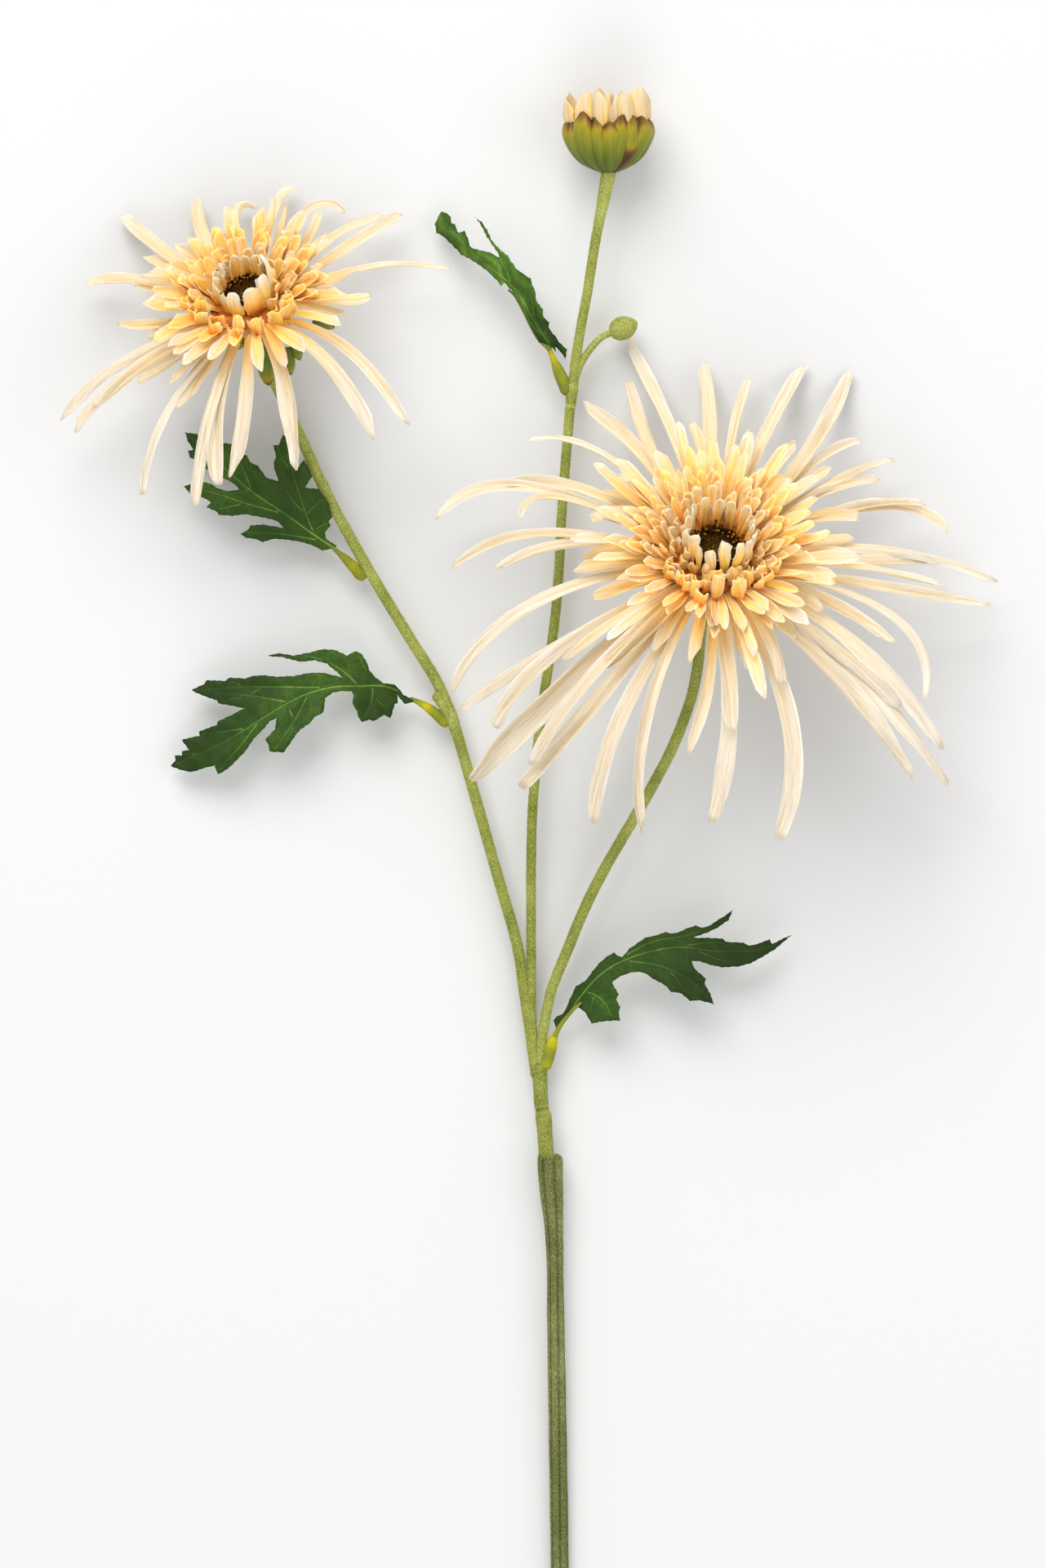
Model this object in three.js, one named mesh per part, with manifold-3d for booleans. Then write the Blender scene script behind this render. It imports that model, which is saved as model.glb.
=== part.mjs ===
// A cut spray of spider chrysanthemum lying on its back with its blooms facing up: two open
// blooms, a bud, a small side bud and four lobed leaves on a branched stem.
// Millimetres, +Z up, the foot of the stem towards -Y.

import * as THREE from 'three';
import { mergeVertices } from 'three/addons/utils/BufferGeometryUtils.js';
import { TessellateModifier } from 'three/addons/modifiers/TessellateModifier.js';
import Module from 'manifold-3d';

// Driving sizes.
const BLOOM_SPAN = 161;        // larger bloom, from tip to tip
const STEM_BELOW_VIEW = 65;    // lower stem past the bottom of the front view
const PETAL_THICKNESS = 0.7;
const LEAF_THICKNESS = 0.8;
const CLEARANCE = 0.35;        // between pieces that meet
const FLOOR_CLEARANCE = 1.4;   // under everything that doesn't rest on the surface

// The front view is laid out in units, u to the right and v down. The larger bloom is
// BLOOM_SPAN_UNITS across, and the fork of the stem is the origin.
const BLOOM_SPAN_UNITS = 687;
const UNIT = BLOOM_SPAN / BLOOM_SPAN_UNITS;
const FORK_U = 662;
const FORK_V = 1325;
const VIEW_BOTTOM_V = 1920;

// Heights of the stem's centre line over the surface.
const FOOT_HEIGHT = 2.3;
const FORK_HEIGHT = 7;
const BUD_HEIGHT = 15;

// Stem radii.
const LOWER_RADIUS = 2.6;
const LOWER_RIDGES = 8;
const RIDGE_DEPTH = 0.22;
const CENTRE_RADIUS = 1.6;
const LEFT_RADIUS = 1.6;
const RIGHT_RADIUS = 1.7;
const STALK_RADIUS = 1.05;
const STUB_RADIUS = 1.4;
const SLEEVE_RADIUS = 2.2;
const FLAT_LENGTH = 16;

// Colours.
const CREAM = 0xf5e6cb;
const GOLD = 0xeeb970;
const DISC_BROWN = 0x3d2f12;
const STEM_GREEN = 0x97a24e;
const LOWER_GREEN = 0x6f7643;
const LEAF_GREEN = 0x3b5828;
const COLLAR_GREEN = 0xadae2e;
const CALYX_GREEN = 0x6f8536;

const wasm = await Module();
wasm.setup();

const group = new THREE.Group();
const X_AXIS = new THREE.Vector3(1, 0, 0);
const Y_AXIS = new THREE.Vector3(0, 1, 0);
const Z_AXIS = new THREE.Vector3(0, 0, 1);

function front(u, v, height = 0) {
  return new THREE.Vector3((u - FORK_U) * UNIT, (FORK_V - v) * UNIT, height);
}

function addNode(name, geometry, color, roughness = 0.85) {
  const material = new THREE.MeshStandardMaterial({ color, roughness, metalness: 0 });
  const mesh = new THREE.Mesh(geometry, material);
  mesh.name = name;
  group.add(mesh);
  return mesh;
}

// Only position is kept, so that vertices shared by several faces become one.
function shared(geometry) {
  const bare = new THREE.BufferGeometry();
  bare.setAttribute('position', geometry.getAttribute('position').clone());
  if (geometry.index) bare.setIndex(geometry.index.clone());
  return mergeVertices(bare, 1e-4);
}

function toSolid(geometry) {
  const { attributes, index } = shared(geometry);
  const vertProperties = new Float32Array(attributes.position.array);
  const triVerts = new Uint32Array(index.array);
  return new wasm.Manifold(new wasm.Mesh({ numProp: 3, vertProperties, triVerts }));
}

function toGeometry(body) {
  const { vertProperties, triVerts } = body.getMesh();
  const geometry = new THREE.BufferGeometry();
  geometry.setAttribute('position', new THREE.BufferAttribute(vertProperties, 3));
  geometry.setIndex(new THREE.BufferAttribute(triVerts, 1));
  geometry.computeVertexNormals();
  return geometry;
}

// Crowded petals can seal off a tiny pocket between them, which is filled.
function fuse(geometries) {
  const join = (whole, next) => whole.add(next);
  const body = geometries.map(toSolid).reduce(join);
  return toGeometry(body.decompose().filter((part) => part.volume() > 0).reduce(join));
}

// A seeded generator of numbers from 0 to 1, so the florets always come out alike.
function makeRandom(seed) {
  let state = seed;
  return () => {
    state = (Math.imul(state, 1664525) + 1013904223) >>> 0;
    return state / 2 ** 32;
  };
}

// A closed skin over rings of equal count, each ring counter-clockwise about the way ahead.
function loft(rings) {
  const count = rings[0].length;
  const last = rings.length - 1;
  const index = [];
  for (let ring = 0; ring < last; ring += 1) {
    for (let side = 0; side < count; side += 1) {
      const here = ring * count + side;
      const beside = ring * count + ((side + 1) % count);
      index.push(here, beside, beside + count, here, beside + count, here + count);
    }
  }
  for (let side = 1; side < count - 1; side += 1) {
    const end = last * count;
    index.push(0, side + 1, side, end, end + side, end + side + 1);
  }
  const geometry = new THREE.BufferGeometry();
  const points = rings.flat().flatMap((point) => [point.x, point.y, point.z]);
  geometry.setAttribute('position', new THREE.Float32BufferAttribute(points, 3));
  geometry.setIndex(index);
  return geometry;
}

// A flat ribbon along a line, with its face turned up.
function ribbon(line, up, widthAt, thickness = PETAL_THICKNESS) {
  const last = line.length - 1;
  const rings = line.map((point, place) => {
    const before = line[Math.max(place - 1, 0)];
    const after = line[Math.min(place + 1, last)];
    const ahead = after.clone().sub(before).normalize();
    const side = up.clone().cross(ahead).normalize();
    const normal = ahead.clone().cross(side);
    const half = widthAt(place / last) / 2;
    const corner = (across, out) => point.clone()
      .addScaledVector(side, across * half)
      .addScaledVector(normal, (out * thickness) / 2);
    return [corner(-1, -1), corner(1, -1), corner(1, 1), corner(-1, 1)];
  });
  return loft(rings);
}

function turned(profile, segments) {
  return new THREE.LatheGeometry(profile.map(([r, h]) => new THREE.Vector2(r, h)), segments);
}

// Stands a turned shape on a point, with its own +Y along the axis.
function stand(geometry, point, axis) {
  geometry.applyQuaternion(new THREE.Quaternion().setFromUnitVectors(Y_AXIS, axis));
  geometry.translate(point.x, point.y, point.z);
  return geometry;
}

function circle(radius, sides) {
  const points = [];
  for (let side = 0; side < sides; side += 1) {
    const turn = (side / sides) * 2 * Math.PI;
    points.push(new THREE.Vector2(radius * Math.cos(turn), radius * Math.sin(turn)));
  }
  return new THREE.Shape(points);
}

function tube(route, section, steps) {
  const extrudePath = new THREE.CatmullRomCurve3(route, false, 'centripetal');
  return new THREE.ExtrudeGeometry(section, { extrudePath, steps, bevelEnabled: false });
}

// Blooms. A ray is its tip and its middle in the front view, with its width in millimetres.
const RIGHT_BLOOM = {
  name: 'right',
  disc: [875, 668],
  height: 62,
  axis: [0.1, 0.52, 0.85],
  size: 1,
  rays: [
    [860, 442, 870, 530, 3.8], [918, 462, 896, 540, 2.6], [988, 443, 932, 545, 3.5],
    [1042, 452, 985, 562, 4.2], [1055, 540, 985, 575, 2.6], [1096, 562, 1000, 598, 2.6],
    [1077, 587, 985, 615, 2.6], [1135, 618, 1025, 627, 2.8], [1162, 652, 1060, 622, 3.2],
    [1222, 713, 1070, 672, 3.4], [1148, 690, 1020, 688, 2.6], [1160, 722, 1040, 695, 2.8],
    [1215, 743, 1050, 717, 3.5], [1128, 857, 1085, 750, 2.4], [1092, 792, 995, 730, 3.4],
    [1150, 918, 1040, 785, 4.7], [1158, 962, 1045, 825, 5.2], [1097, 868, 1000, 780, 4.2],
    [1115, 955, 1020, 830, 4.7], [950, 1028, 962, 880, 4.9], [909, 823, 895, 760, 2.8],
    [870, 1007, 888, 870, 4.5], [838, 925, 866, 820, 3.2], [786, 1020, 788, 880, 3.6],
    [725, 1008, 765, 870, 4.2], [640, 966, 740, 845, 4.5], [578, 957, 700, 832, 5.9],
    [608, 893, 680, 803, 4.2], [561, 872, 690, 786, 3.6], [551, 850, 660, 735, 3.4],
    [606, 700, 710, 665, 2.8], [553, 699, 670, 656, 2.7], [534, 638, 650, 598, 3.3],
    [638, 638, 690, 612, 2.2], [617, 594, 720, 604, 3.1], [647, 541, 745, 562, 2.2],
    [712, 495, 790, 568, 3.8], [770, 466, 800, 555, 3.3], [766, 413, 826, 540, 3.4],
  ],
  rings: [
    { count: 12, root: 9.9, lean: 74, length: 9.5, width: 4.4, steps: 2 },
    { count: 14, root: 10.6, lean: 58, length: 11, width: 4.4, steps: 2 },
    { count: 15, root: 12, lean: 42, length: 13, width: 4.4, steps: 2 },
    { count: 14, root: 13, lean: 28, length: 18, width: 4.6, steps: 3 },
    { count: 14, root: 13.5, lean: 16, length: 25, width: 4.4, steps: 3 },
  ],
};

const LEFT_BLOOM = {
  name: 'left',
  disc: [302, 355],
  height: 42,
  axis: [-0.14, 0.6, 0.79],
  size: 0.82,
  rays: [
    [313, 254, 291, 268, 2.6], [362, 229, 335, 262, 2.7], [351, 246, 342, 292, 2.3],
    [390, 255, 372, 300, 2.8], [422, 260, 372, 262, 2.3], [470, 263, 405, 290, 3.2],
    [492, 260, 420, 308, 3.2], [438, 330, 385, 353, 2.8], [552, 332, 450, 330, 2],
    [456, 366, 395, 372, 3.4], [501, 525, 425, 430, 3.2], [461, 543, 405, 448, 4.1],
    [365, 580, 352, 468, 4.6], [287, 589, 303, 490, 3.8], [268, 597, 270, 500, 4.2],
    [242, 624, 258, 510, 3.5], [220, 505, 255, 450, 4.1], [178, 609, 205, 510, 3],
    [172, 473, 230, 432, 3.8], [118, 503, 190, 442, 3], [92, 531, 165, 455, 3.2],
    [78, 518, 150, 445, 3.4], [184, 418, 235, 392, 3.2], [144, 398, 215, 400, 2.8],
    [165, 348, 225, 362, 3.2], [101, 350, 175, 341, 3.2], [176, 312, 225, 340, 2.8],
    [147, 262, 215, 318, 4], [240, 240, 252, 292, 3.8],
  ],
  rings: [
    { count: 11, root: 9.7, lean: 72, length: 10, width: 4.8, steps: 2 },
    { count: 12, root: 10.6, lean: 54, length: 12, width: 4.8, steps: 2 },
    { count: 12, root: 12, lean: 37, length: 15, width: 5, steps: 2 },
    { count: 12, root: 13, lean: 21, length: 20, width: 5, steps: 3 },
  ],
};

const RAY_STEPS = 5;
const RAY_RISE = 0.1;          // a ray leaves its root at this slope over the bloom's plane
const RAY_DROOP = 0.0048;      // and sinks by this much with the square of its reach
const FLOOR_EASE = 7;          // height over which a petal eases down to the surface
const FLORET_ROOT_LEVEL = -7.6;
const FLORET_UNBEND = 0.55;    // share of its lean that a floret has left at its tip
const RAY_LEVEL = -12;         // height of the rays' roots under the disc, along the axis
const RAY_ROOT_RADIUS = 5;
const CALYX_DEPTH = 28;        // from the disc to the top of the stem

// How far a ray stands over the bloom's plane, at a distance from its axis.
function rayDroop(distance) {
  return RAY_RISE * distance - RAY_DROOP * distance ** 2;
}

// Petals that come near the surface lie along it and stop short of it.
function overSurface(height) {
  const above = height - FLOOR_CLEARANCE;
  return FLOOR_CLEARANCE + (above + Math.hypot(above, FLOOR_EASE)) / 2;
}

function bloomFrame(bloom) {
  const axis = new THREE.Vector3(...bloom.axis).normalize();
  const east = Y_AXIS.clone().cross(axis).normalize();
  const north = axis.clone().cross(east);
  const centre = front(...bloom.disc, bloom.height);
  return { axis, east, north, centre };
}

function rayLine(bloom, { axis, centre }, [tipU, tipV, midU, midV], tier) {
  const tip = front(tipU, tipV).setZ(0).sub(new THREE.Vector3(centre.x, centre.y, 0));
  const middle = front(midU, midV).sub(new THREE.Vector3(centre.x, centre.y, 0)).setZ(0);
  const level = (RAY_LEVEL + tier) * bloom.size;
  const root = middle.clone().setLength(RAY_ROOT_RADIUS * bloom.size);
  root.addScaledVector(new THREE.Vector3(axis.x, axis.y, 0), level);
  const bend = middle.clone().multiplyScalar(2).addScaledVector(root, -0.5).addScaledVector(tip, -0.5);
  const flat = new THREE.QuadraticBezierCurve3(root, bend, tip).getPoints(RAY_STEPS);
  const length = flat[RAY_STEPS].length();
  return flat.map((point) => {
    const reach = point.length() / length;
    const plane = -(axis.x * point.x + axis.y * point.y) / axis.z;
    const distance = Math.hypot(point.x, point.y, plane);
    const height = centre.z + plane + (level + rayDroop(distance)) / axis.z;
    return point.clone().setZ(THREE.MathUtils.lerp(height, overSurface(height), reach) - centre.z);
  });
}

function rayWidth(width) {
  const shape = new THREE.SplineCurve([[0, 0.6], [0.3, 0.85], [0.6, 1], [0.85, 0.92], [1, 0.35]]
    .map(([x, y]) => new THREE.Vector2(x, y)));
  return (place) => width * shape.getPoint(place).y;
}

function buildRays(bloom, frame) {
  const core = turned([[0, -17.5], [6, -17], [11, -14], [13.5, -11], [12, -9.4], [0, -9.4]], 18);
  core.scale(bloom.size, bloom.size, bloom.size);
  const petals = bloom.rays.map((ray, number) => {
    const line = rayLine(bloom, frame, ray, (number % 2) * 1.2);
    return ribbon(line, frame.axis, rayWidth(ray[4]));
  });
  return fuse([stand(core, new THREE.Vector3(), frame.axis), ...petals]);
}

// A floret leaves the core at its lean, then bends over outwards.
function floretLine({ axis, east, north }, turn, { root, lean, length, steps }, size) {
  const out = east.clone().multiplyScalar(Math.cos(turn)).addScaledVector(north, Math.sin(turn));
  const start = THREE.MathUtils.degToRad(lean);
  const end = start * FLORET_UNBEND;
  const step = (length * size) / steps;
  const point = out.clone().multiplyScalar((root - 2) * size);
  point.addScaledVector(axis, FLORET_ROOT_LEVEL * size);
  const line = [point.clone()];
  for (let place = 0; place < steps; place += 1) {
    const slope = THREE.MathUtils.lerp(start, end, place / (steps - 1));
    point.addScaledVector(out, step * Math.cos(slope)).addScaledVector(axis, step * Math.sin(slope));
    line.push(point.clone());
  }
  return line;
}

function buildFlorets(bloom, frame) {
  const random = makeRandom(bloom.rays.length);
  const core = turned([
    [0, -9], [12, -9], [14.2, -7.6], [13.4, -5.4], [8.6, -4.4], [8.4, -6.2], [0, -6.2],
  ], 20);
  core.scale(bloom.size, bloom.size, bloom.size);
  const petals = bloom.rings.flatMap((ring, row) => {
    const made = [];
    for (let number = 0; number < ring.count; number += 1) {
      const turn = ((number + 0.5 * (row % 2) + 0.3 * random()) / ring.count) * 2 * Math.PI;
      const length = ring.length * (0.85 + 0.3 * random());
      const own = { ...ring, length, lean: ring.lean + 6 * random() };
      const line = floretLine(frame, turn, own, bloom.size);
      const width = (place) => ring.width * bloom.size * (0.6 + 1.25 * place - 1.15 * place ** 2);
      made.push(ribbon(line, frame.axis, width));
    }
    return made;
  });
  return fuse([stand(core, new THREE.Vector3(), frame.axis), ...petals]);
}

function buildDisc(bloom, { axis }) {
  const profile = [[0, -5.8], [6.7, -5.8], [7.1, -4], [6.6, -2.2], [5, -1.4], [2.4, -2], [0, -2.3]];
  const disc = turned(profile, 16);
  disc.scale(bloom.size, bloom.size, bloom.size);
  return shared(stand(disc, new THREE.Vector3(), axis));
}

// The green cup under the rays, with its bracts spread behind them.
function buildCalyx(bloom, { axis, east, north }) {
  const cup = turned([[0, -27.6], [2.2, -27.6], [5, -25], [8.6, -21.4], [9.4, -19.4], [0, -18.2]], 14);
  const bracts = [];
  const count = 10;
  for (let number = 0; number < count; number += 1) {
    const turn = (number / count) * 2 * Math.PI;
    const out = east.clone().multiplyScalar(Math.cos(turn)).addScaledVector(north, Math.sin(turn));
    const place = (r, h) => out.clone().multiplyScalar(r).addScaledVector(axis, h);
    const line = [place(6, -21), place(9.6, -20.8), place(12.4, -19.6), place(14, -17.6)];
    bracts.push(ribbon(line, axis, (along) => 4.2 - 3 * along ** 2, 1));
  }
  const geometry = fuse([stand(cup, new THREE.Vector3(), axis), ...bracts]);
  geometry.scale(bloom.size, bloom.size, bloom.size);
  return geometry;
}

// The bloom is let down until its lowest petal rests on the surface.
function addBloom(bloom) {
  const frame = bloomFrame(bloom);
  const rays = buildRays(bloom, frame);
  rays.computeBoundingBox();
  frame.centre.z = -rays.boundingBox.min.z;
  const pieces = {
    rays: [rays, CREAM],
    florets: [buildFlorets(bloom, frame), GOLD],
    disc: [buildDisc(bloom, frame), DISC_BROWN],
    calyx: [buildCalyx(bloom, frame), CALYX_GREEN],
  };
  for (const [piece, [geometry, color]] of Object.entries(pieces)) {
    addNode(`${bloom.name}_${piece}`, geometry, color).position.copy(frame.centre);
  }
  return frame;
}

// The last points of a branch, which meets the calyx square to its foot.
function calyxEnd({ centre, axis }, size) {
  const foot = centre.clone().addScaledVector(axis, -CALYX_DEPTH * size - CLEARANCE);
  return [foot.clone().addScaledVector(axis, -6), foot];
}

const rightEnd = calyxEnd(addBloom(RIGHT_BLOOM), RIGHT_BLOOM.size);
const leftEnd = calyxEnd(addBloom(LEFT_BLOOM), LEFT_BLOOM.size);

// The lower stem, ribbed along its length, with the socket at its top.
const lowerRoute = [
  front(687, VIEW_BOTTOM_V, FOOT_HEIGHT).add(new THREE.Vector3(0, -STEM_BELOW_VIEW, 0)),
  front(687, VIEW_BOTTOM_V, FOOT_HEIGHT).add(new THREE.Vector3(0, FLAT_LENGTH - STEM_BELOW_VIEW, 0)),
  front(686, 1890, 3.5),
  front(682, 1700, 5),
  front(680, 1600, 6),
  front(679, 1500, 6.6),
  front(676, 1450, FORK_HEIGHT),
];
const ribbedOutline = [];
for (let side = 0; side < 2 * LOWER_RIDGES; side += 1) {
  const turn = (side / (2 * LOWER_RIDGES)) * 2 * Math.PI;
  const radius = LOWER_RADIUS - (side % 2) * RIDGE_DEPTH;
  ribbedOutline.push(new THREE.Vector2(radius * Math.cos(turn), radius * Math.sin(turn)));
}
const socketBase = front(680, 1500, 6.6);
const socketTop = front(673, 1417, FORK_HEIGHT);
const socketAxis = socketTop.clone().sub(socketBase).normalize();
const socketLength = socketTop.distanceTo(socketBase);
const socket = turned([
  [0, 0], [2.3, 0], [2.9, 6], [3.4, 12], [3.5, socketLength], [2.7, socketLength],
  [2.6, socketLength - 7], [0, socketLength - 7],
], 14);
const surfaceBelow = new THREE.BoxGeometry(60, 120, 20).translate(lowerRoute[0].x, lowerRoute[0].y, -10);
const lowerBody = toSolid(tube(lowerRoute, new THREE.Shape(ribbedOutline), 13))
  .add(toSolid(stand(socket, socketBase, socketAxis)))
  .subtract(toSolid(surfaceBelow));
addNode('lower_stem', toGeometry(lowerBody), LOWER_GREEN);

// The three branches, which grow together at the fork, the side bud's stalk and a cut stub.
const centreRoute = [
  front(662, 1345, FORK_HEIGHT), front(657, 1270, FORK_HEIGHT), front(651, 1100, 7),
  front(655, 970, 7), front(674, 790, 7), front(686, 680, 7.2), front(700, 500, 8.5),
  front(710, 420, 10), front(728, 320, 12.5), front(746, 212, BUD_HEIGHT),
];
const leftRoute = [
  front(658, 1318, FORK_HEIGHT), front(648, 1240, 7), front(620, 1090, 7), front(587, 980, 7),
  front(552, 872, 7), front(500, 790, 7.4), front(447, 690, 8), front(398, 595, 9.5),
  front(372, 535, 11), ...leftEnd,
];
const rightRoute = [
  front(662, 1318, FORK_HEIGHT), front(668, 1250, 7.2), front(690, 1172, 8), front(740, 1060, 10),
  front(790, 975, 13), front(828, 903, 17), front(853, 835, 22), ...rightEnd,
];
const stalkRoute = [
  front(702, 474, 8.8), front(712, 446, 9), front(724, 427, 9), front(738, 413, 9), front(750, 407, 9),
];
const stubRoute = [front(549, 868, 7), front(541, 857, 8.4), front(530, 846, 9.6)];
const sleeveAxis = front(674, 1433, FORK_HEIGHT).sub(front(661, 1290, FORK_HEIGHT)).normalize();
const sleeve = turned([
  [0, 0], [1.7, 0], [SLEEVE_RADIUS, 3], [2.35, 9], [2.35, 17], [2.05, 19], [2.05, 33.5], [0, 33.5],
], 14);
addNode('branches', fuse([
  tube(centreRoute, circle(CENTRE_RADIUS, 8), 20),
  tube(leftRoute, circle(LEFT_RADIUS, 8), 24),
  tube(rightRoute, circle(RIGHT_RADIUS, 8), 18),
  tube(stalkRoute, circle(STALK_RADIUS, 6), 5),
  tube(stubRoute, circle(STUB_RADIUS, 6), 3),
  stand(sleeve, front(661, 1290, FORK_HEIGHT), sleeveAxis),
]), STEM_GREEN);

// The side bud: an egg with small scales round its foot.
const sideBudFoot = front(751.5, 406.5, 9);
const sideBudAxis = new THREE.Vector3(0.93, 0.36, 0).normalize();
addNode('side_bud', shared(stand(turned([
  [0, 0], [1.4, 0], [3, 1.4], [3.8, 3.4], [3.7, 5.4], [2.6, 7.4], [1.2, 8.3], [0, 8.5],
], 12), sideBudFoot, sideBudAxis)), CALYX_GREEN);

// The bud: a brush of closed petals in a cup of bracts.
const budFoot = front(746, 211, BUD_HEIGHT);
const budAxis = new THREE.Vector3(-0.02, 1, 0.1).normalize();
const BUD_TOP = 24.2;

function budPetals(count, reach, shift) {
  const made = [];
  for (let number = 0; number < count; number += 1) {
    const turn = ((number + shift) / count) * 2 * Math.PI;
    const out = X_AXIS.clone().multiplyScalar(Math.cos(turn)).addScaledVector(Z_AXIS, Math.sin(turn));
    const place = (share, h) => out.clone().multiplyScalar(reach * share).setY(h);
    const height = BUD_TOP * (1 - 0.05 * ((number * 2) % 3));
    const line = [place(0.4, 6), place(0.92, 11), place(1, 17), place(0.97, height)];
    const width = (along) => 5.4 * (0.7 + 1.1 * along - 1.15 * along ** 2);
    made.push(ribbon(line, out, width, 0.9));
  }
  return made;
}

const budCore = turned([[0, 1.6], [3, 2.2], [7, 6], [8.6, 10], [8.2, 17], [0, 20.6]], 14);
addNode('bud_petals', stand(fuse([
  budCore, ...budPetals(11, 11.3, 0), ...budPetals(6, 8, 0.5), ...budPetals(3, 4, 0.2),
]), budFoot, budAxis), CREAM);

const budCup = turned([
  [0, 0.2], [2, 0.4], [4.7, 1.9], [8.4, 3.5], [10.9, 6.1], [12.4, 9], [12.8, 12], [12.1, 12.2],
  [11.6, 9.4], [9.9, 6.4], [6.8, 3.6], [0, 1],
], 14);
const budBracts = [];
const BUD_BRACTS = 9;
for (let number = 0; number < BUD_BRACTS; number += 1) {
  const turn = ((number + 0.5) / BUD_BRACTS) * 2 * Math.PI;
  const out = X_AXIS.clone().multiplyScalar(Math.cos(turn)).addScaledVector(Z_AXIS, Math.sin(turn));
  const line = [[11.7, 8], [12.5, 12], [12.7, 15], [12.4, 17.6]]
    .map(([r, h]) => out.clone().multiplyScalar(r).setY(h));
  budBracts.push(ribbon(line, out, (along) => 6.6 - 4.6 * along ** 2, 0.8));
}
addNode('bud_bracts', stand(fuse([budCup, ...budBracts]), budFoot, budAxis), CALYX_GREEN);

// Leaves. Each outline goes round in the front view from its base.
const LEAVES = {
  leaf_left_low: {
    outline: [
      [508, 856], [496, 846], [486, 840], [470, 836], [460, 822], [450, 813], [442, 800], [425, 802],
      [410, 796], [395, 795], [380, 799], [360, 803], [328, 803], [346, 808], [368, 812], [385, 812],
      [405, 818], [417, 829], [395, 824], [360, 828], [308, 828], [280, 831], [252, 833], [234, 845],
      [250, 853], [267, 861], [298, 867], [285, 875], [266, 885], [243, 897], [222, 907], [230, 917],
      [213, 926], [208, 938], [234, 945], [262, 938], [268, 948], [284, 938], [300, 920], [318, 898],
      [334, 884], [328, 906], [330, 920], [348, 921], [362, 901], [384, 882], [396, 870], [406, 850],
      [430, 845], [433, 862], [443, 884], [457, 883], [470, 875], [479, 879], [485, 861], [495, 864],
    ],
    tip: [208, 938],
    heights: [7.2, 8, 5],
  },
  leaf_left_high: {
    outline: [
      [410, 670], [395, 674], [370, 665], [335, 660], [312, 661], [294, 654], [306, 643], [346, 645],
      [322, 634], [300, 630], [268, 631], [252, 621], [258, 614], [224, 595], [243, 588], [268, 597],
      [293, 600], [276, 587], [246, 571], [229, 552], [235, 549], [225, 528], [240, 530], [252, 541],
      [285, 543], [297, 558], [308, 567], [327, 585], [341, 589], [335, 566], [334, 545], [345, 532],
      [354, 540], [361, 570], [372, 562], [383, 583], [374, 596], [390, 598], [403, 616], [405, 643],
      [398, 656], [412, 665],
    ],
    tip: [225, 528],
    heights: [8, 9, 4],
  },
  leaf_top: {
    outline: [
      [678, 430], [660, 418], [650, 400], [640, 380], [630, 360], [614, 351], [600, 335], [580, 320],
      [565, 312], [545, 290], [532, 276], [540, 257], [556, 270], [564, 283], [575, 292], [579, 303],
      [600, 308], [588, 290], [581, 264], [592, 276], [606, 300], [620, 319], [640, 334], [654, 343],
      [658, 365], [669, 383], [680, 410], [694, 430], [690, 437],
    ],
    tip: [536, 262],
    heights: [9.5, 5, 5],
  },
  leaf_right: {
    outline: [
      [684, 1263], [678, 1252], [688, 1240], [697, 1226], [705, 1208], [725, 1190], [742, 1172],
      [758, 1169], [780, 1155], [800, 1146], [830, 1142], [852, 1134], [868, 1134], [899, 1114],
      [893, 1127], [868, 1142], [850, 1148], [888, 1152], [918, 1157], [943, 1151], [946, 1157],
      [973, 1144], [950, 1163], [920, 1180], [885, 1185], [848, 1176], [865, 1198], [875, 1230],
      [845, 1225], [815, 1207], [785, 1191], [752, 1200], [760, 1220], [760, 1250], [725, 1254],
      [712, 1233], [702, 1242], [692, 1256],
    ],
    tip: [973, 1144],
    heights: [7, 9, 6],
  },
};
const LEAF_FACET = 13;         // longest edge of a leaf's facets
const LEAF_FOLD = 0.14;        // drop of the blade for each millimetre from the midrib

function buildLeaf({ outline, tip, heights }) {
  const shape = new THREE.Shape(outline.map(([u, v]) => {
    const { x, y } = front(u, v);
    return new THREE.Vector2(x, y);
  }));
  const flat = new THREE.ExtrudeGeometry(shape, { depth: LEAF_THICKNESS, bevelEnabled: false });
  const geometry = shared(new TessellateModifier(LEAF_FACET, 5).modify(flat));
  const base = front(...outline[0]);
  const midrib = front(...tip).sub(base);
  const length = midrib.length();
  midrib.normalize();
  const rise = new THREE.QuadraticBezierCurve3(
    new THREE.Vector3(0, 0, heights[0]),
    new THREE.Vector3(0, 0, heights[0] + 2 * heights[1]),
    new THREE.Vector3(0, 0, heights[2]),
  );
  const { position } = geometry.attributes;
  for (let number = 0; number < position.count; number += 1) {
    const x = position.getX(number) - base.x;
    const y = position.getY(number) - base.y;
    const along = THREE.MathUtils.clamp((x * midrib.x + y * midrib.y) / length, 0, 1);
    const off = Math.abs(x * midrib.y - y * midrib.x);
    const drop = Math.min(LEAF_FOLD * off, 0.5 * heights[1]);
    position.setZ(number, position.getZ(number) + rise.getPoint(along).z - drop);
  }
  return geometry;
}

for (const [name, leaf] of Object.entries(LEAVES)) {
  addNode(name, buildLeaf(leaf), LEAF_GREEN);
}

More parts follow.
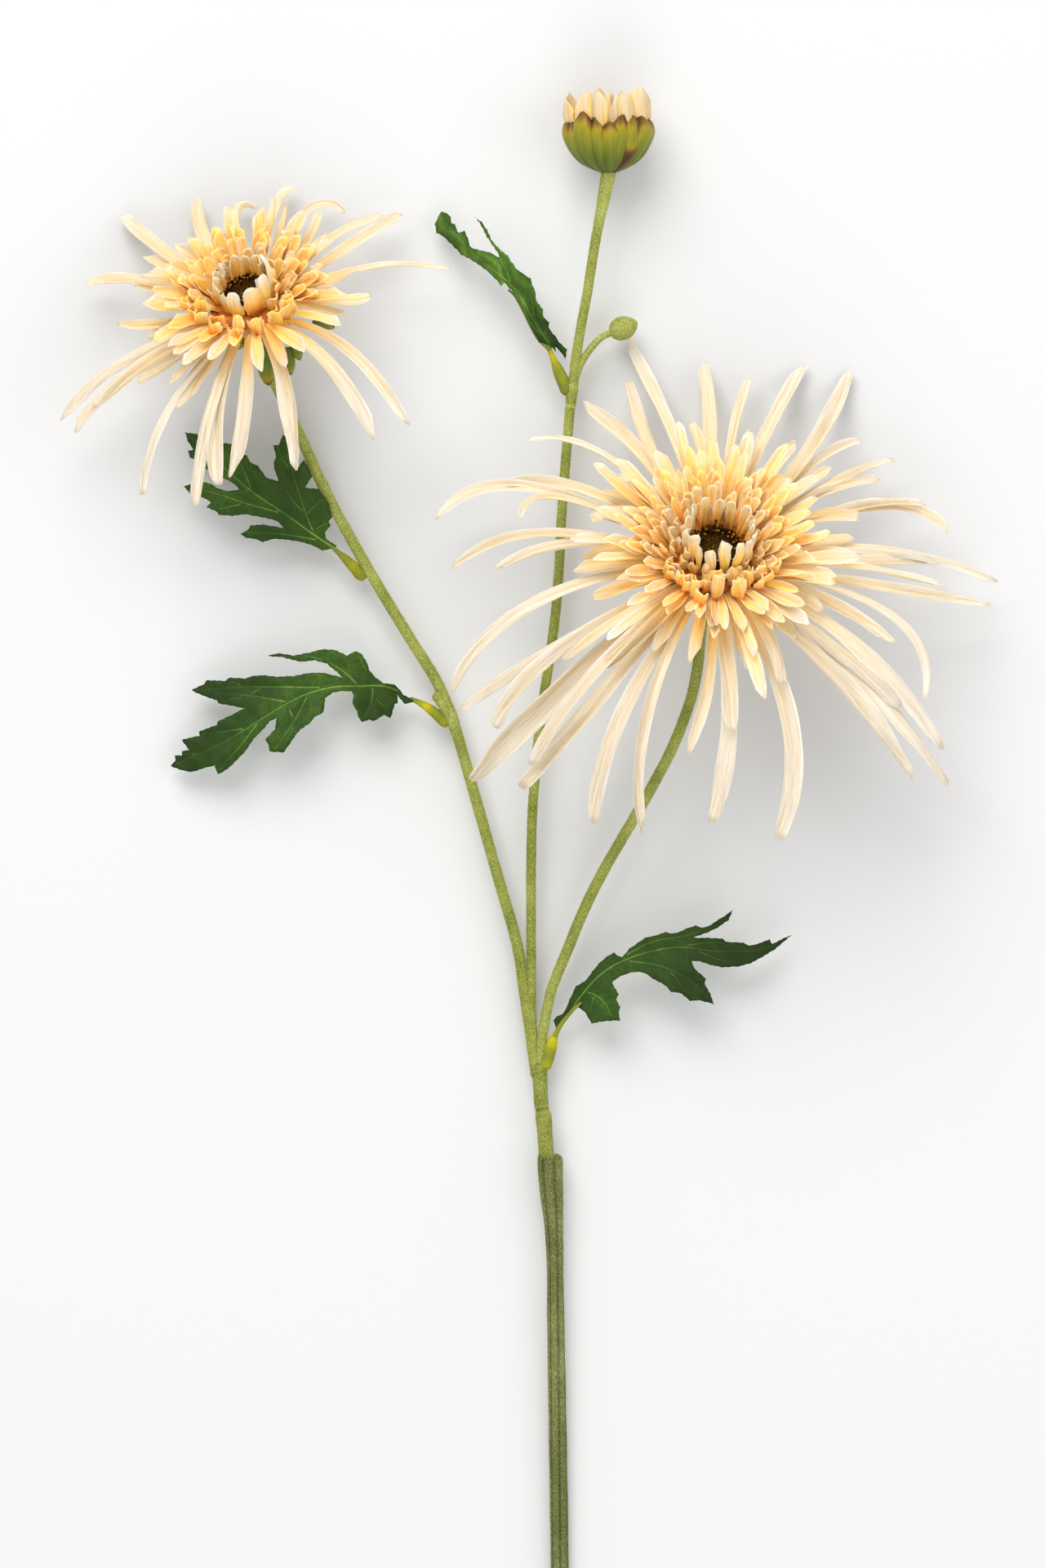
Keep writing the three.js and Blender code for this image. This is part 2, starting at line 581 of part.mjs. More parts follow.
// The swollen collars where the leaves join the stems.
const COLLARS = {
  collar_left_low: { from: front(509, 860, 7.2), to: front(545.5, 886, 7), radius: 1.6 },
  collar_left_high: { from: front(412, 672, 8.2), to: front(442, 704, 7.8), radius: 1.4 },
  collar_top: { from: front(682, 436, 9.9), to: front(690, 486, 8.6), radius: 1.9 },
  collar_right: { from: front(685, 1265, 7), to: front(677, 1310, FORK_HEIGHT), radius: 1.5 },
};
for (const [name, { from, to, radius }] of Object.entries(COLLARS)) {
  const axis = to.clone().sub(from);
  const length = axis.length();
  const profile = [[0, 0], [0.6, 0], [0.9, 0.2], [1, 0.5], [0.85, 0.8], [0.4, 1], [0, 1]]
    .map(([share, along]) => [share * radius, along * length]);
  addNode(name, shared(stand(turned(profile, 10), from, axis.normalize())), COLLAR_GREEN);
}

// The origin goes under the middle of the whole spray.
const box = new THREE.Box3().setFromObject(group);
const middle = box.getCenter(new THREE.Vector3());
group.position.set(-middle.x, -middle.y, -box.min.z);

export default group;
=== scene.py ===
import math

import bpy
import numpy as np
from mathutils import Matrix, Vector
from mathutils.geometry import delaunay_2d_cdt


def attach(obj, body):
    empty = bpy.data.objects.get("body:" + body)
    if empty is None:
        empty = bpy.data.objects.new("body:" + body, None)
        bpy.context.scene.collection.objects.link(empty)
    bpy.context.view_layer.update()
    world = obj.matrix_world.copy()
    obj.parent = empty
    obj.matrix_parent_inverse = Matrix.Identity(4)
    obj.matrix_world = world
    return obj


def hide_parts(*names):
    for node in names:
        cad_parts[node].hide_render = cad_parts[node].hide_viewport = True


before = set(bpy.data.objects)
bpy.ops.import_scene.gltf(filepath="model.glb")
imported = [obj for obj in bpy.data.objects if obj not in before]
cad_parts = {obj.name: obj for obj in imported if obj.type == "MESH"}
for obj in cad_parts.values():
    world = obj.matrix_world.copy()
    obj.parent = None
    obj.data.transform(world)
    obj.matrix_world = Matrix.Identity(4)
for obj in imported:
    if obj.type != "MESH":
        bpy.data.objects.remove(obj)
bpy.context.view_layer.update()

# A cut spray of spider chrysanthemum lying on its back, seen from straight above.
# Lengths are in millimetres until a piece's mesh is made. The front view is laid out in
# units, u to the right and v down, and the larger bloom is bloomSpanUnits across.

mm = 0.001
bloomSpan = 161.0
bloomSpanUnits = 687
unit = bloomSpan / bloomSpanUnits
forkU, forkV = 662, 1325
viewWidth, viewHeight = 1280, 1920
stemBelowView = 65.0
yAxis = np.array([0.0, 1.0, 0.0])
zAxis = np.array([0.0, 0.0, 1.0])


# small helpers for vectors and curves

def unitVector(v):
    v = np.asarray(v, float)
    return v / np.linalg.norm(v, axis=-1, keepdims=True)


def lerp(a, b, t):
    return a + (b - a) * t


def profileAt(points, t):
    # smooth curve through (place, value) pairs
    xs, ys = zip(*points)
    t = np.asarray(t, float)
    slopes = np.gradient(ys, xs)
    k = np.clip(np.searchsorted(xs, t, side="right") - 1, 0, len(xs) - 2)
    x0, x1 = np.take(xs, k), np.take(xs, k + 1)
    y0, y1 = np.take(ys, k), np.take(ys, k + 1)
    m0, m1 = slopes[k], slopes[k + 1]
    h = x1 - x0
    s = np.clip((t - x0) / h, 0, 1)
    return ((2 * s**3 - 3 * s**2 + 1) * y0 + (s**3 - 2 * s**2 + s) * h * m0
            + (3 * s**2 - 2 * s**3) * y1 + (s**3 - s**2) * h * m1)


def smoothRoute(points, steps):
    # centripetal curve through the points, in evenly spaced steps
    p = np.asarray(points, float)
    p = np.vstack([2 * p[0] - p[1], p, 2 * p[-1] - p[-2]])
    fine = []
    for a, b, c, d in zip(p, p[1:], p[2:], p[3:]):
        gaps = [max(np.linalg.norm(step), 1e-6) ** 0.5 for step in (b - a, c - b, d - c)]
        t0, t1, t2, t3 = np.r_[0, np.cumsum(gaps)]
        t = np.linspace(t1, t2, 24, endpoint=False)[:, None]

        def mix(start, end, first, second):
            return (end - t) / (end - start) * first + (t - start) / (end - start) * second

        bc = mix(t1, t2, b, c)
        abc = mix(t0, t2, mix(t0, t1, a, b), bc)
        bcd = mix(t1, t3, bc, mix(t2, t3, c, d))
        fine.append(mix(t1, t2, abc, bcd))
    fine.append(p[-2:-1])
    return evenSteps(np.vstack(fine), steps)


def distanceGone(line):
    return np.r_[0, np.cumsum(np.linalg.norm(np.diff(line, axis=0), axis=1))]


def evenSteps(line, steps):
    gone = distanceGone(line)
    want = np.linspace(0, gone[-1], steps + 1)
    return np.stack([np.interp(want, gone, column) for column in line.T], 1)


def wobble(seed, t, waves=3):
    # slow smooth noise along a line, about -1 to 1
    rng = np.random.default_rng(seed)
    total = 0
    for wave in range(1, waves + 1):
        total = total + rng.normal() / wave * np.sin(math.pi * wave * t + rng.uniform(0, 6.28))
    return 0.6 * total


# a piece gathers its parts' points, faces and marks, and becomes one mesh

class Piece:
    def __init__(self, name):
        self.name = name
        self.points = []
        self.faces = []
        # the third mark is painted shade on blades and the paler underside on leaves
        self.marks = []  # for each point: tone, chance or vein, underside
        self.places = []  # for each point: millimetres across and along
        self.count = 0

    def add(self, points, faces, marks, places):
        self.points.append(points)
        self.faces += [tuple(int(i) + self.count for i in face) for face in faces]
        self.marks.append(marks)
        self.places.append(places)
        self.count += len(points)

    def finish(self, material, replaces):
        mesh = bpy.data.meshes.new(self.name)
        points = np.vstack(self.points) * mm
        mesh.from_pydata(points.tolist(), [], self.faces)
        mesh.polygons.foreach_set("use_smooth", [True] * len(mesh.polygons))
        marks = np.clip(np.vstack(self.marks), 0, 1)
        colours = mesh.color_attributes.new("marks", "FLOAT_COLOR", "POINT")
        colours.data.foreach_set("color", np.c_[marks, np.ones(len(marks))].ravel())
        uv = mesh.uv_layers.new(name="millimetres")
        corner = np.empty(len(mesh.loops), dtype=np.int32)
        mesh.loops.foreach_get("vertex_index", corner)
        uv.data.foreach_set("uv", np.vstack(self.places)[corner].ravel())
        mesh.materials.append(material)
        mesh.validate()
        mesh.update()
        obj = bpy.data.objects.new(self.name, mesh)
        bpy.context.scene.collection.objects.link(obj)
        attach(obj, "root")
        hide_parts(*replaces)
        print(self.name, "faces", len(self.faces))
        return obj


def gridFaces(rows, columns, closed=False, start=0):
    wide = columns if closed else columns - 1
    faces = []
    for row in range(rows - 1):
        for column in range(wide):
            here = start + row * columns + column
            beside = start + row * columns + (column + 1) % columns
            faces.append((here, beside, beside + columns, here + columns))
    return faces


def addTube(piece, line, radii, sides, tone=0.5, chance=0.5, ridge=None, slide=None, rough=0.0, seed=1):
    # A closed tube. ridge(turn, share) scales its radius, slide(turn, share) moves its surface
    # along it, and rough is the height of its random grain.
    line = np.asarray(line, float)
    rows = len(line)
    ahead = unitVector(np.gradient(line, axis=0))
    side = unitVector(np.cross(zAxis, ahead))
    normal = np.cross(ahead, side)
    share = np.linspace(0, 1, rows)[:, None]
    turn = np.linspace(0, 2 * math.pi, sides, endpoint=False)[None, :]
    radius = np.asarray(radii, float).reshape(-1, 1) * np.ones((rows, sides))
    if ridge:
        radius = radius * ridge(turn, share)
    radius = radius + rough * np.random.default_rng(seed).normal(size=radius.shape)
    ring = (line[:, None, :] + (radius * np.cos(turn))[..., None] * side[:, None, :]
            + (radius * np.sin(turn))[..., None] * normal[:, None, :])
    if slide:
        ring = ring + (slide(turn, share) * np.ones((rows, sides)))[..., None] * ahead[:, None, :]
    points = np.vstack([ring.reshape(-1, 3), ring[0].mean(0), ring[-1].mean(0)])
    faces = gridFaces(rows, sides, closed=True)
    first, last, low = len(points) - 2, len(points) - 1, (rows - 1) * sides
    for k in range(sides):
        faces.append((first, (k + 1) % sides, k))
        faces.append((last, low + k, low + (k + 1) % sides))
    gone = distanceGone(line)
    across = np.abs(turn[0] / math.pi - 1) * float(np.mean(radii)) * math.pi
    places = np.stack(np.meshgrid(across, gone), -1).reshape(-1, 2)
    places = np.vstack([places, [0, gone[0]], [0, gone[-1]]])
    tones = np.asarray(tone, float)
    tones = np.broadcast_to(tones[:, None] if tones.ndim == 1 else tones, (rows, sides)).ravel()
    tones = np.r_[tones, tones[0], tones[-1]]
    piece.add(points, faces, np.c_[tones, np.full(len(points), chance), np.zeros(len(points))], places)


def tipShortening(tip, s, chance):
    # how many millimetres each place across a blade ends before its tip
    kind, size, leaning = tip
    if kind in ("point", "oval", "arch"):
        power = {"point": 1.25, "oval": 1.8, "arch": 2.8}[kind]
        return size * (np.abs(s - leaning) / (1 + abs(leaning))) ** power
    if kind == "square":
        notch = np.exp(-((s - leaning) / 0.2) ** 2)
        return size * (0.24 * notch + 0.4 * s**6 + 0.05 * np.sin(9 * s + 30 * chance) + 0.1)
    return size * (1 - np.sqrt(1 - 0.97 * s**2))


def addBlade(piece, line, up, widths, tones, chance, thickness=0.26, cup=0.0, roll=0.0, ribs=0.0, across=8,
             tip=("round", 1.0, 0.0), crease=(0.0, 0.0), hood=0.0, ruffle=0.0, rim=0.06, shade=0.0):
    # A thin closed blade. cup lifts its edges towards up and roll turns it about its length.
    # tip is the end's kind, its length in millimetres and the side it leans to. crease is the
    # depth and place of a lengthwise fold, and ribs the height of fine ones. hood closes the end
    # like a bow, ruffle waves the edges and rim makes them paler and the middle darker, partly the
    # dye and partly painted light and shade of the cupped blade. shade is painted shade, heavier
    # on the underside.
    line = np.asarray(line, float)
    rows, columns = len(line), across + 1
    ahead = unitVector(np.gradient(line, axis=0))
    side = unitVector(np.cross(np.broadcast_to(up, line.shape), ahead))
    normal = np.cross(ahead, side)
    turn = np.broadcast_to(np.asarray(roll, float), (rows,))[:, None]
    side, normal = (np.cos(turn) * side + np.sin(turn) * normal,
                    np.cos(turn) * normal - np.sin(turn) * side)
    t = np.linspace(0, 1, rows)[:, None]
    s = np.sin(math.pi / 2 * np.linspace(-1, 1, columns))[None, :]
    gone = distanceGone(line)
    short = np.clip(tipShortening(tip, s, chance) / gone[-1], 0, 0.45)
    power = min(9.0, 0.85 / max(float(short.max()), 0.05))
    at = np.clip((t - short * t**power) * (rows - 1), 0, rows - 1.001)
    low = at.astype(int)
    part = (at - low)[..., None]

    def between(values):
        return values[low] * (1 - part) + values[low + 1] * part

    half = between(np.asarray(widths, float)[:, None] / 2)[..., 0]
    curve = between(np.broadcast_to(np.asarray(cup, float), (rows,))[:, None])[..., 0]
    phase = chance * 40 + 1.7 * np.sign(s)
    lift = half * curve * (s**2 - 0.35) + ribs * np.cos(3 * math.pi * s) * np.clip(half, 0, 1.2)
    lift = lift + hood * half * np.clip((t - 0.75) / 0.25, 0, 1) ** 2
    lift = lift + ruffle * half * s**2 * np.sin(15 * t + phase) * t
    fold = crease[1] + 0.25 * np.sin(5 * t + 40 * chance)
    lift = lift - crease[0] * half * np.exp(-((s - fold) / 0.3) ** 2) * np.clip(4 * t * (1.15 - t), 0, 1)
    middle = (between(line) + (half * s)[..., None] * between(side) + lift[..., None] * between(normal))
    edge = (thickness * (0.5 - 0.3 * s**4))[..., None] * between(normal)
    size = rows * columns
    faces = gridFaces(rows, columns)
    faces += [tuple(reversed(face)) for face in gridFaces(rows, columns, start=size)]
    border = ([row * columns for row in range(rows)]
              + [(rows - 1) * columns + k for k in range(1, columns)]
              + [row * columns + columns - 1 for row in range(rows - 2, -1, -1)]
              + list(range(columns - 2, 0, -1)))
    for a, b in zip(border, border[1:] + border[:1]):
        faces.append((a, b, b + size, a + size))
    shift = 37.0 * chance
    along = between(gone[:, None])[..., 0]
    places = np.stack([(half * s).ravel() + shift, along.ravel() + 11 * shift], 1)
    rims = np.broadcast_to(np.asarray(rim, float), (rows,))[:, None]
    tone = (between(np.asarray(tones, float)[:, None])[..., 0] + rims * (s**4 - 0.22)).ravel()
    # painted shade: the shade marks, heavier on the underside
    shades = between(np.broadcast_to(np.asarray(shade, float), (rows,))[:, None])[..., 0].ravel()
    marks = np.c_[tone, np.full(size, chance)]
    piece.add(np.vstack([(middle + edge).reshape(-1, 3), (middle - edge).reshape(-1, 3)]), faces,
              np.vstack([np.c_[marks, shades], np.c_[marks, 0.2 + 0.8 * shades]]),
              np.vstack([places, places]))


def addTurned(piece, profile, foot, axis, sides=32, tone=0.5, chance=0.5, ridge=None):
    # A shape turned about an axis, from (radius, height) pairs. ridge(turn, height) scales
    # its radius.
    axis = unitVector(axis)
    east = unitVector(np.cross(yAxis if abs(axis[1]) < 0.9 else zAxis, axis))
    north = np.cross(axis, east)
    profile = np.asarray(profile, float)
    turn = np.linspace(0, 2 * math.pi, sides, endpoint=False)[None, :]
    radius = profile[:, :1] * np.ones((1, sides))
    height = profile[:, 1:] * np.ones((1, sides))
    if ridge:
        radius = radius * ridge(turn, height)
    points = (np.asarray(foot) + (radius * np.cos(turn))[..., None] * east
              + (radius * np.sin(turn))[..., None] * north + height[..., None] * axis).reshape(-1, 3)
    faces = gridFaces(len(profile), sides, closed=True)
    places = np.c_[(radius * np.abs(turn - math.pi)).ravel(), height.ravel()]
    tones = np.broadcast_to(tone, (len(profile),)).repeat(sides)
    piece.add(points, faces, np.c_[tones, np.full(len(points), chance), np.zeros(len(points))], places)


# the front view's place in the frame, found from the right bloom's disc

frontShift = np.zeros(3)


def front(u, v, height=0.0):
    return np.array([(u - forkU) * unit, (forkV - v) * unit, height]) + frontShift


def meanPoint(node):
    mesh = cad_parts[node].data
    points = np.empty(len(mesh.vertices) * 3, dtype=np.float32)
    mesh.vertices.foreach_get("co", points)
    points = np.unique(np.round(points.reshape(-1, 3) / mm, 3), axis=0)
    return points.mean(0)


discMeanLevel = -3.104  # mean height of a disc's points under the bloom's centre

rightBloom = {
    "name": "right", "disc": (875, 668), "axis": (0.1, 0.52, 0.85), "size": 1.0, "seed": 3,
    # each ray: tip u and v, middle u and v, width
    "rays": [
        (860, 442, 870, 530, 3.8), (918, 462, 896, 540, 2.6), (988, 443, 932, 545, 3.5),
        (1042, 452, 985, 562, 4.2), (1055, 540, 985, 575, 2.6), (1096, 562, 1000, 598, 2.6),
        (1077, 587, 985, 615, 2.6), (1135, 618, 1025, 627, 2.8), (1162, 652, 1060, 622, 3.2),
        (1222, 713, 1070, 672, 3.4), (1148, 690, 1020, 688, 2.6), (1160, 722, 1040, 695, 2.8),
        (1215, 743, 1050, 717, 3.5), (1128, 857, 1085, 750, 2.4), (1092, 792, 995, 730, 3.4),
        (1150, 918, 1040, 785, 4.7), (1158, 962, 1045, 825, 5.2), (1097, 868, 1000, 780, 4.2),
        (1115, 955, 1020, 830, 4.7), (950, 1028, 962, 880, 4.9), (909, 823, 895, 760, 2.8),
        (870, 1007, 888, 870, 4.5), (838, 925, 866, 820, 3.2), (786, 1020, 788, 880, 3.6),
        (725, 1008, 765, 870, 4.2), (640, 966, 740, 845, 4.5), (578, 957, 700, 832, 5.9),
        (608, 893, 680, 803, 4.2), (561, 872, 690, 786, 3.6), (551, 850, 660, 735, 3.4),
        (606, 700, 710, 665, 2.8), (553, 699, 670, 656, 2.7), (534, 638, 650, 598, 3.3),
        (638, 638, 690, 612, 2.2), (617, 594, 720, 604, 3.1), (647, 541, 745, 562, 2.2),
        (712, 495, 790, 568, 3.8), (770, 466, 800, 555, 3.3), (766, 413, 826, 540, 3.4),
    ],
    # shorter pale rays that lie on the long ones
    "overRays": [
        (893, 897, 884, 800, 4.3), (652, 938, 720, 835, 3.8), (953, 838, 935, 770, 4.2),
        (738, 822, 795, 770, 3.6), (688, 812, 745, 765, 3.4), (845, 815, 855, 755, 3.4),
        (968, 785, 935, 735, 5.0), (713, 690, 780, 672, 3.8), (722, 640, 780, 635, 3.4),
        (1050, 635, 980, 640, 3.4), (735, 603, 790, 620, 3.4), (920, 530, 900, 580, 3.2),
        (975, 543, 935, 590, 3.0), (755, 587, 805, 610, 3.2), (1003, 752, 950, 715, 3.6),
        (800, 800, 830, 745, 3.6), (1044, 660, 980, 668, 3.2), (725, 735, 785, 715, 3.6),
        (1018, 575, 965, 610, 3.0), (845, 520, 862, 570, 3.2), (700, 700, 765, 690, 3.4),
    ],
    "rings": [
        # count, root radius, lean at the root and at the tip, length, width, tone at the tip
        (15, 8.4, 82, 104, 15.6, 3.5, 0.88), (15, 9.2, 72, 98, 10.5, 3.4, 0.66),
        (17, 9.8, 62, 86, 10.5, 3.5, 0.6), (19, 10.4, 53, 72, 11.5, 3.5, 0.57),
        (21, 10.8, 46, 60, 12.5, 3.5, 0.56), (23, 11.1, 40, 48, 14.0, 3.5, 0.57),
        (24, 11.4, 35, 38, 15.5, 3.5, 0.59), (24, 11.6, 30, 30, 17.5, 3.5, 0.62),
        (22, 11.8, 26, 22, 19.5, 3.5, 0.66), (18, 11.8, 22, 15, 22.5, 3.6, 0.72),
        (14, 11.8, 18, 9, 26.5, 3.7, 0.8), (10, 11.8, 14, 2, 32.0, 3.8, 0.88),
    ],
    # on the near side the rows from boxRows curl in and show their backs, boxShift millimetres
    # further out, and innerGaps are the rows that are missing there
    # the bloom's painted shade is laid over its rays and florets
    "boxRows": (2, 6), "innerGaps": (), "boxShift": 0.4, "paintedShade": 0.0, "thinned": (-180, 0, 0.3),
    "innerWidths": [(0, 0.4), (0.4, 0.6), (0.75, 1), (0.92, 0.94), (1, 0.6)],
    # the innermost florets: degrees round the disc, millimetres that the tip goes sideways,
    # shares of length and width, and lean at the tip
    "inner": [
        (-99, -2.4, 1.0, 0.95, 104), (-77, -1.5, 1.2, 1.15, 116), (-62, 2.2, 1.15, 1.0, 104),
        (-125, -2.2, 1.0, 0.7, 102), (-149, 0, 1.25, 1.1, 84), (-30, 0, 1.05, 0.8, 95), (-8, 0, 1, 0.8, 88),
        (14, 0, 1, 1, 88), (38, 0, 1, 1, 88), (62, 0, 1, 1, 88), (86, 0, 1, 1, 88), (110, 0, 1, 1, 88),
        (134, 0, 1, 1, 88), (160, 0, 1, 1, 88), (184, 0, 1, 1, 86)],
    # bracts that show from behind: root u and v, tip u and v, width, heights
    "bracts": [(893, 738, 905, 774, 3.6, 42, 37)],
}

leftBloom = {
    "name": "left", "disc": (302, 355), "axis": (-0.14, 0.6, 0.79), "size": 0.82, "seed": 8,
    "rays": [
        (313, 254, 291, 268, 2.6), (362, 229, 335, 262, 2.7), (351, 246, 342, 292, 2.3),
        (390, 255, 372, 300, 2.8), (422, 260, 372, 262, 2.3), (470, 263, 405, 290, 3.2),
        (492, 260, 420, 308, 3.2), (438, 330, 385, 353, 2.8), (552, 332, 450, 330, 2),
        (456, 366, 395, 372, 3.4), (501, 525, 425, 430, 3.2), (461, 543, 405, 448, 4.1),
        (365, 580, 352, 468, 4.6), (287, 589, 303, 490, 3.8), (268, 597, 270, 500, 4.2),
        (242, 624, 258, 510, 3.5), (220, 505, 255, 450, 4.1), (178, 609, 205, 510, 3),
        (172, 473, 230, 432, 3.8), (118, 503, 190, 442, 3), (92, 531, 165, 455, 3.2),
        (78, 518, 150, 445, 3.4), (184, 418, 235, 392, 3.2), (144, 398, 215, 400, 2.8),
        (165, 348, 225, 362, 3.2), (101, 350, 175, 341, 3.2), (176, 312, 225, 340, 2.8),
        (147, 262, 215, 318, 4), (240, 240, 252, 292, 3.8),
    ],
    "overRays": [
        (210, 477, 250, 425, 3.2), (425, 390, 380, 375, 3.0), (400, 287, 365, 320, 3.0),
        (205, 362, 240, 365, 3.2), (240, 455, 262, 415, 3.4), (402, 350, 365, 350, 3.2),
        (205, 322, 240, 340, 3.2), (350, 455, 335, 415, 3.4),
    ],
    "rings": [
        (13, 8.6, 82, 106, 13.6, 5.4, 0.88), (12, 9.4, 66, 92, 11.6, 5.0, 0.6),
        (13, 10.1, 52, 62, 11.5, 4.8, 0.52), (15, 10.6, 49, 58, 13.5, 4.8, 0.48),
        (16, 11.0, 42, 44, 15.0, 4.8, 0.48), (17, 11.3, 36, 32, 17.0, 4.9, 0.52),
        (16, 11.5, 30, 22, 19.5, 5.0, 0.6), (15, 11.7, 24, 14, 23.0, 5.0, 0.7),
        (13, 11.8, 18, 6, 27.5, 5.0, 0.88),
    ],
    "boxRows": (3, 5), "innerGaps": (1, 2), "boxShift": 3.2, "paintedShade": 0.4,
    "thinned": (-80, -30, 0.75),
    "innerWidths": [(0, 0.75), (0.4, 1), (0.7, 0.98), (0.9, 0.78), (1, 0.5)],
    "inner": [
        (-108, -0.8, 1.12, 1.2, 103), (-62, 0.4, 1.25, 1.3, 105), (-27, 0, 1.3, 0.95, 98),
        (-160, 0, 1.15, 1.0, 92), (-134, 0, 0.85, 0.7, 96), (-2, 5.5, 1.4, 0.75, 135), (22, 0, 1, 0.9, 88),
        (44, 0, 1, 1, 88), (66, 0, 1, 1, 88), (90, 0, 1, 1, 88), (117, 0, 1, 1, 88), (144, 0, 1, 1, 88),
        (171, 0, 1, 1, 88)],
    "bracts": [(322, 418, 329, 471, 5.0, 22, 17), (352, 426, 356, 458, 3.6, 22, 17),
               (361, 420, 367, 440, 3.4, 23, 19), (384, 395, 409, 402, 2.8, 26, 23)],
}

rayShape = {
    "level": -12, "rootRadius": 5, "rise": 0.1, "droop": 0.0048, "floorClearance": 1.4, "floorEase": 7,
    "steps": 26, "across": 12, "lowest": 0.9,
    "otherTier": 1.2,         # every other ray lies this much higher
    "overTier": (3.6, 0.5),   # the short rays lie this much higher, in three layers with this step
    "swing": 0.5,             # millimetres that a ray wanders sideways and up
    "broad": 4.1,             # a ray wider than this has a blunt tip
    "widths": [(0, 0.55), (0.22, 0.76), (0.55, 1), (0.84, 0.98), (1, 0.66)],
    "cups": [(0, 0.6), (0.3, 1), (0.8, 0.9), (1, 0.5)],
    # tone by millimetres from the root, from gold to cream
    "dyeByDistance": [(0, 0.34), (14, 0.47), (24, 0.6), (35, 0.7), (48, 0.79), (64, 0.87), (85, 0.95)],
    "core": [(0.01, -17.5), (6, -17), (11, -14), (13.5, -11), (12, -9.4), (0.01, -9.4)],
}
floretShape = {
    "rootLevel": -7.6, "steps": 11, "across": 8, "lowest": 1.0,
    "widths": [(0, 0.42), (0.3, 0.6), (0.64, 1), (0.84, 0.97)],
    "innerTones": [(0, 0.02), (0.25, 0.12), (0.45, 0.32), (0.7, 0.56), (0.85, 0.7), (1, 0.82)],
    # florets that curl in: how their lean grows along them, degrees at the tip, shares of length,
    # and the share that is missing
    "boxBend": [(0, 0), (0.22, 0.05), (0.6, 0.92), (1, 1)],
    "boxLean": (92, 132), "boxReach": (0.72, 1.05), "boxMissing": 0.22,
    "core": [(0.01, -9), (12, -9), (13.2, -7.6), (11.4, -5.9), (8.6, -5.6), (8.2, -6.4), (0.01, -6.4)],
}


def bloomFrame(bloom):
    axis = unitVector(bloom["axis"])
    east = unitVector(np.cross(yAxis, axis))
    centre = meanPoint(bloom["name"] + "_disc") - discMeanLevel * bloom["size"] * axis
    return axis, east, np.cross(axis, east), centre


for bloom in (rightBloom, leftBloom):
    bloom["axis"], bloom["east"], bloom["north"], bloom["centre"] = bloomFrame(bloom)
frontShift = rightBloom["centre"] - front(*rightBloom["disc"])
frontShift[2] = 0


def outAt(bloom, turn):
    return math.cos(turn) * bloom["east"] + math.sin(turn) * bloom["north"]


def rayLine(bloom, ray, tier):
    shape, axis, centre = rayShape, bloom["axis"], bloom["centre"]
    flatCentre = centre * (1, 1, 0)
    tip = front(*ray[0:2]) - flatCentre
    middle = front(*ray[2:4]) - flatCentre
    level = (shape["level"] + tier) * bloom["size"]
    root = unitVector(middle) * shape["rootRadius"] * bloom["size"] + axis * (1, 1, 0) * level
    bend = 2 * middle - 0.5 * root - 0.5 * tip
    t = np.linspace(0, 1, shape["steps"] + 1)[:, None]
    flat = (1 - t) ** 2 * root + 2 * t * (1 - t) * bend + t**2 * tip
    reach = np.linalg.norm(flat, axis=1) / np.linalg.norm(flat[-1])
    plane = -(axis[0] * flat[:, 0] + axis[1] * flat[:, 1]) / axis[2]
    distance = np.hypot(np.linalg.norm(flat, axis=1), plane)
    bow = shape["rise"] * distance - shape["droop"] * distance**2
    high = centre[2] + plane + (level + bow) / axis[2]
    above = high - shape["floorClearance"]
    eased = shape["floorClearance"] + (above + np.hypot(above, shape["floorEase"])) / 2
    flat[:, 2] = lerp(high, eased, reach)
    return flat + flatCentre


def rayTip(rng, width):
    tip = ("point" if rng.uniform() < 0.6 else "oval", width * rng.uniform(0.9, 2.0), rng.uniform(-0.7, 0.7))
    if width > rayShape["broad"]:
        tip = ("arch", 0.62 * tip[1], 0.6 * tip[2])
    if rng.uniform() < 0.12:
        tip = ("square", width * 0.7, rng.uniform(-0.4, 0.4))
    return tip


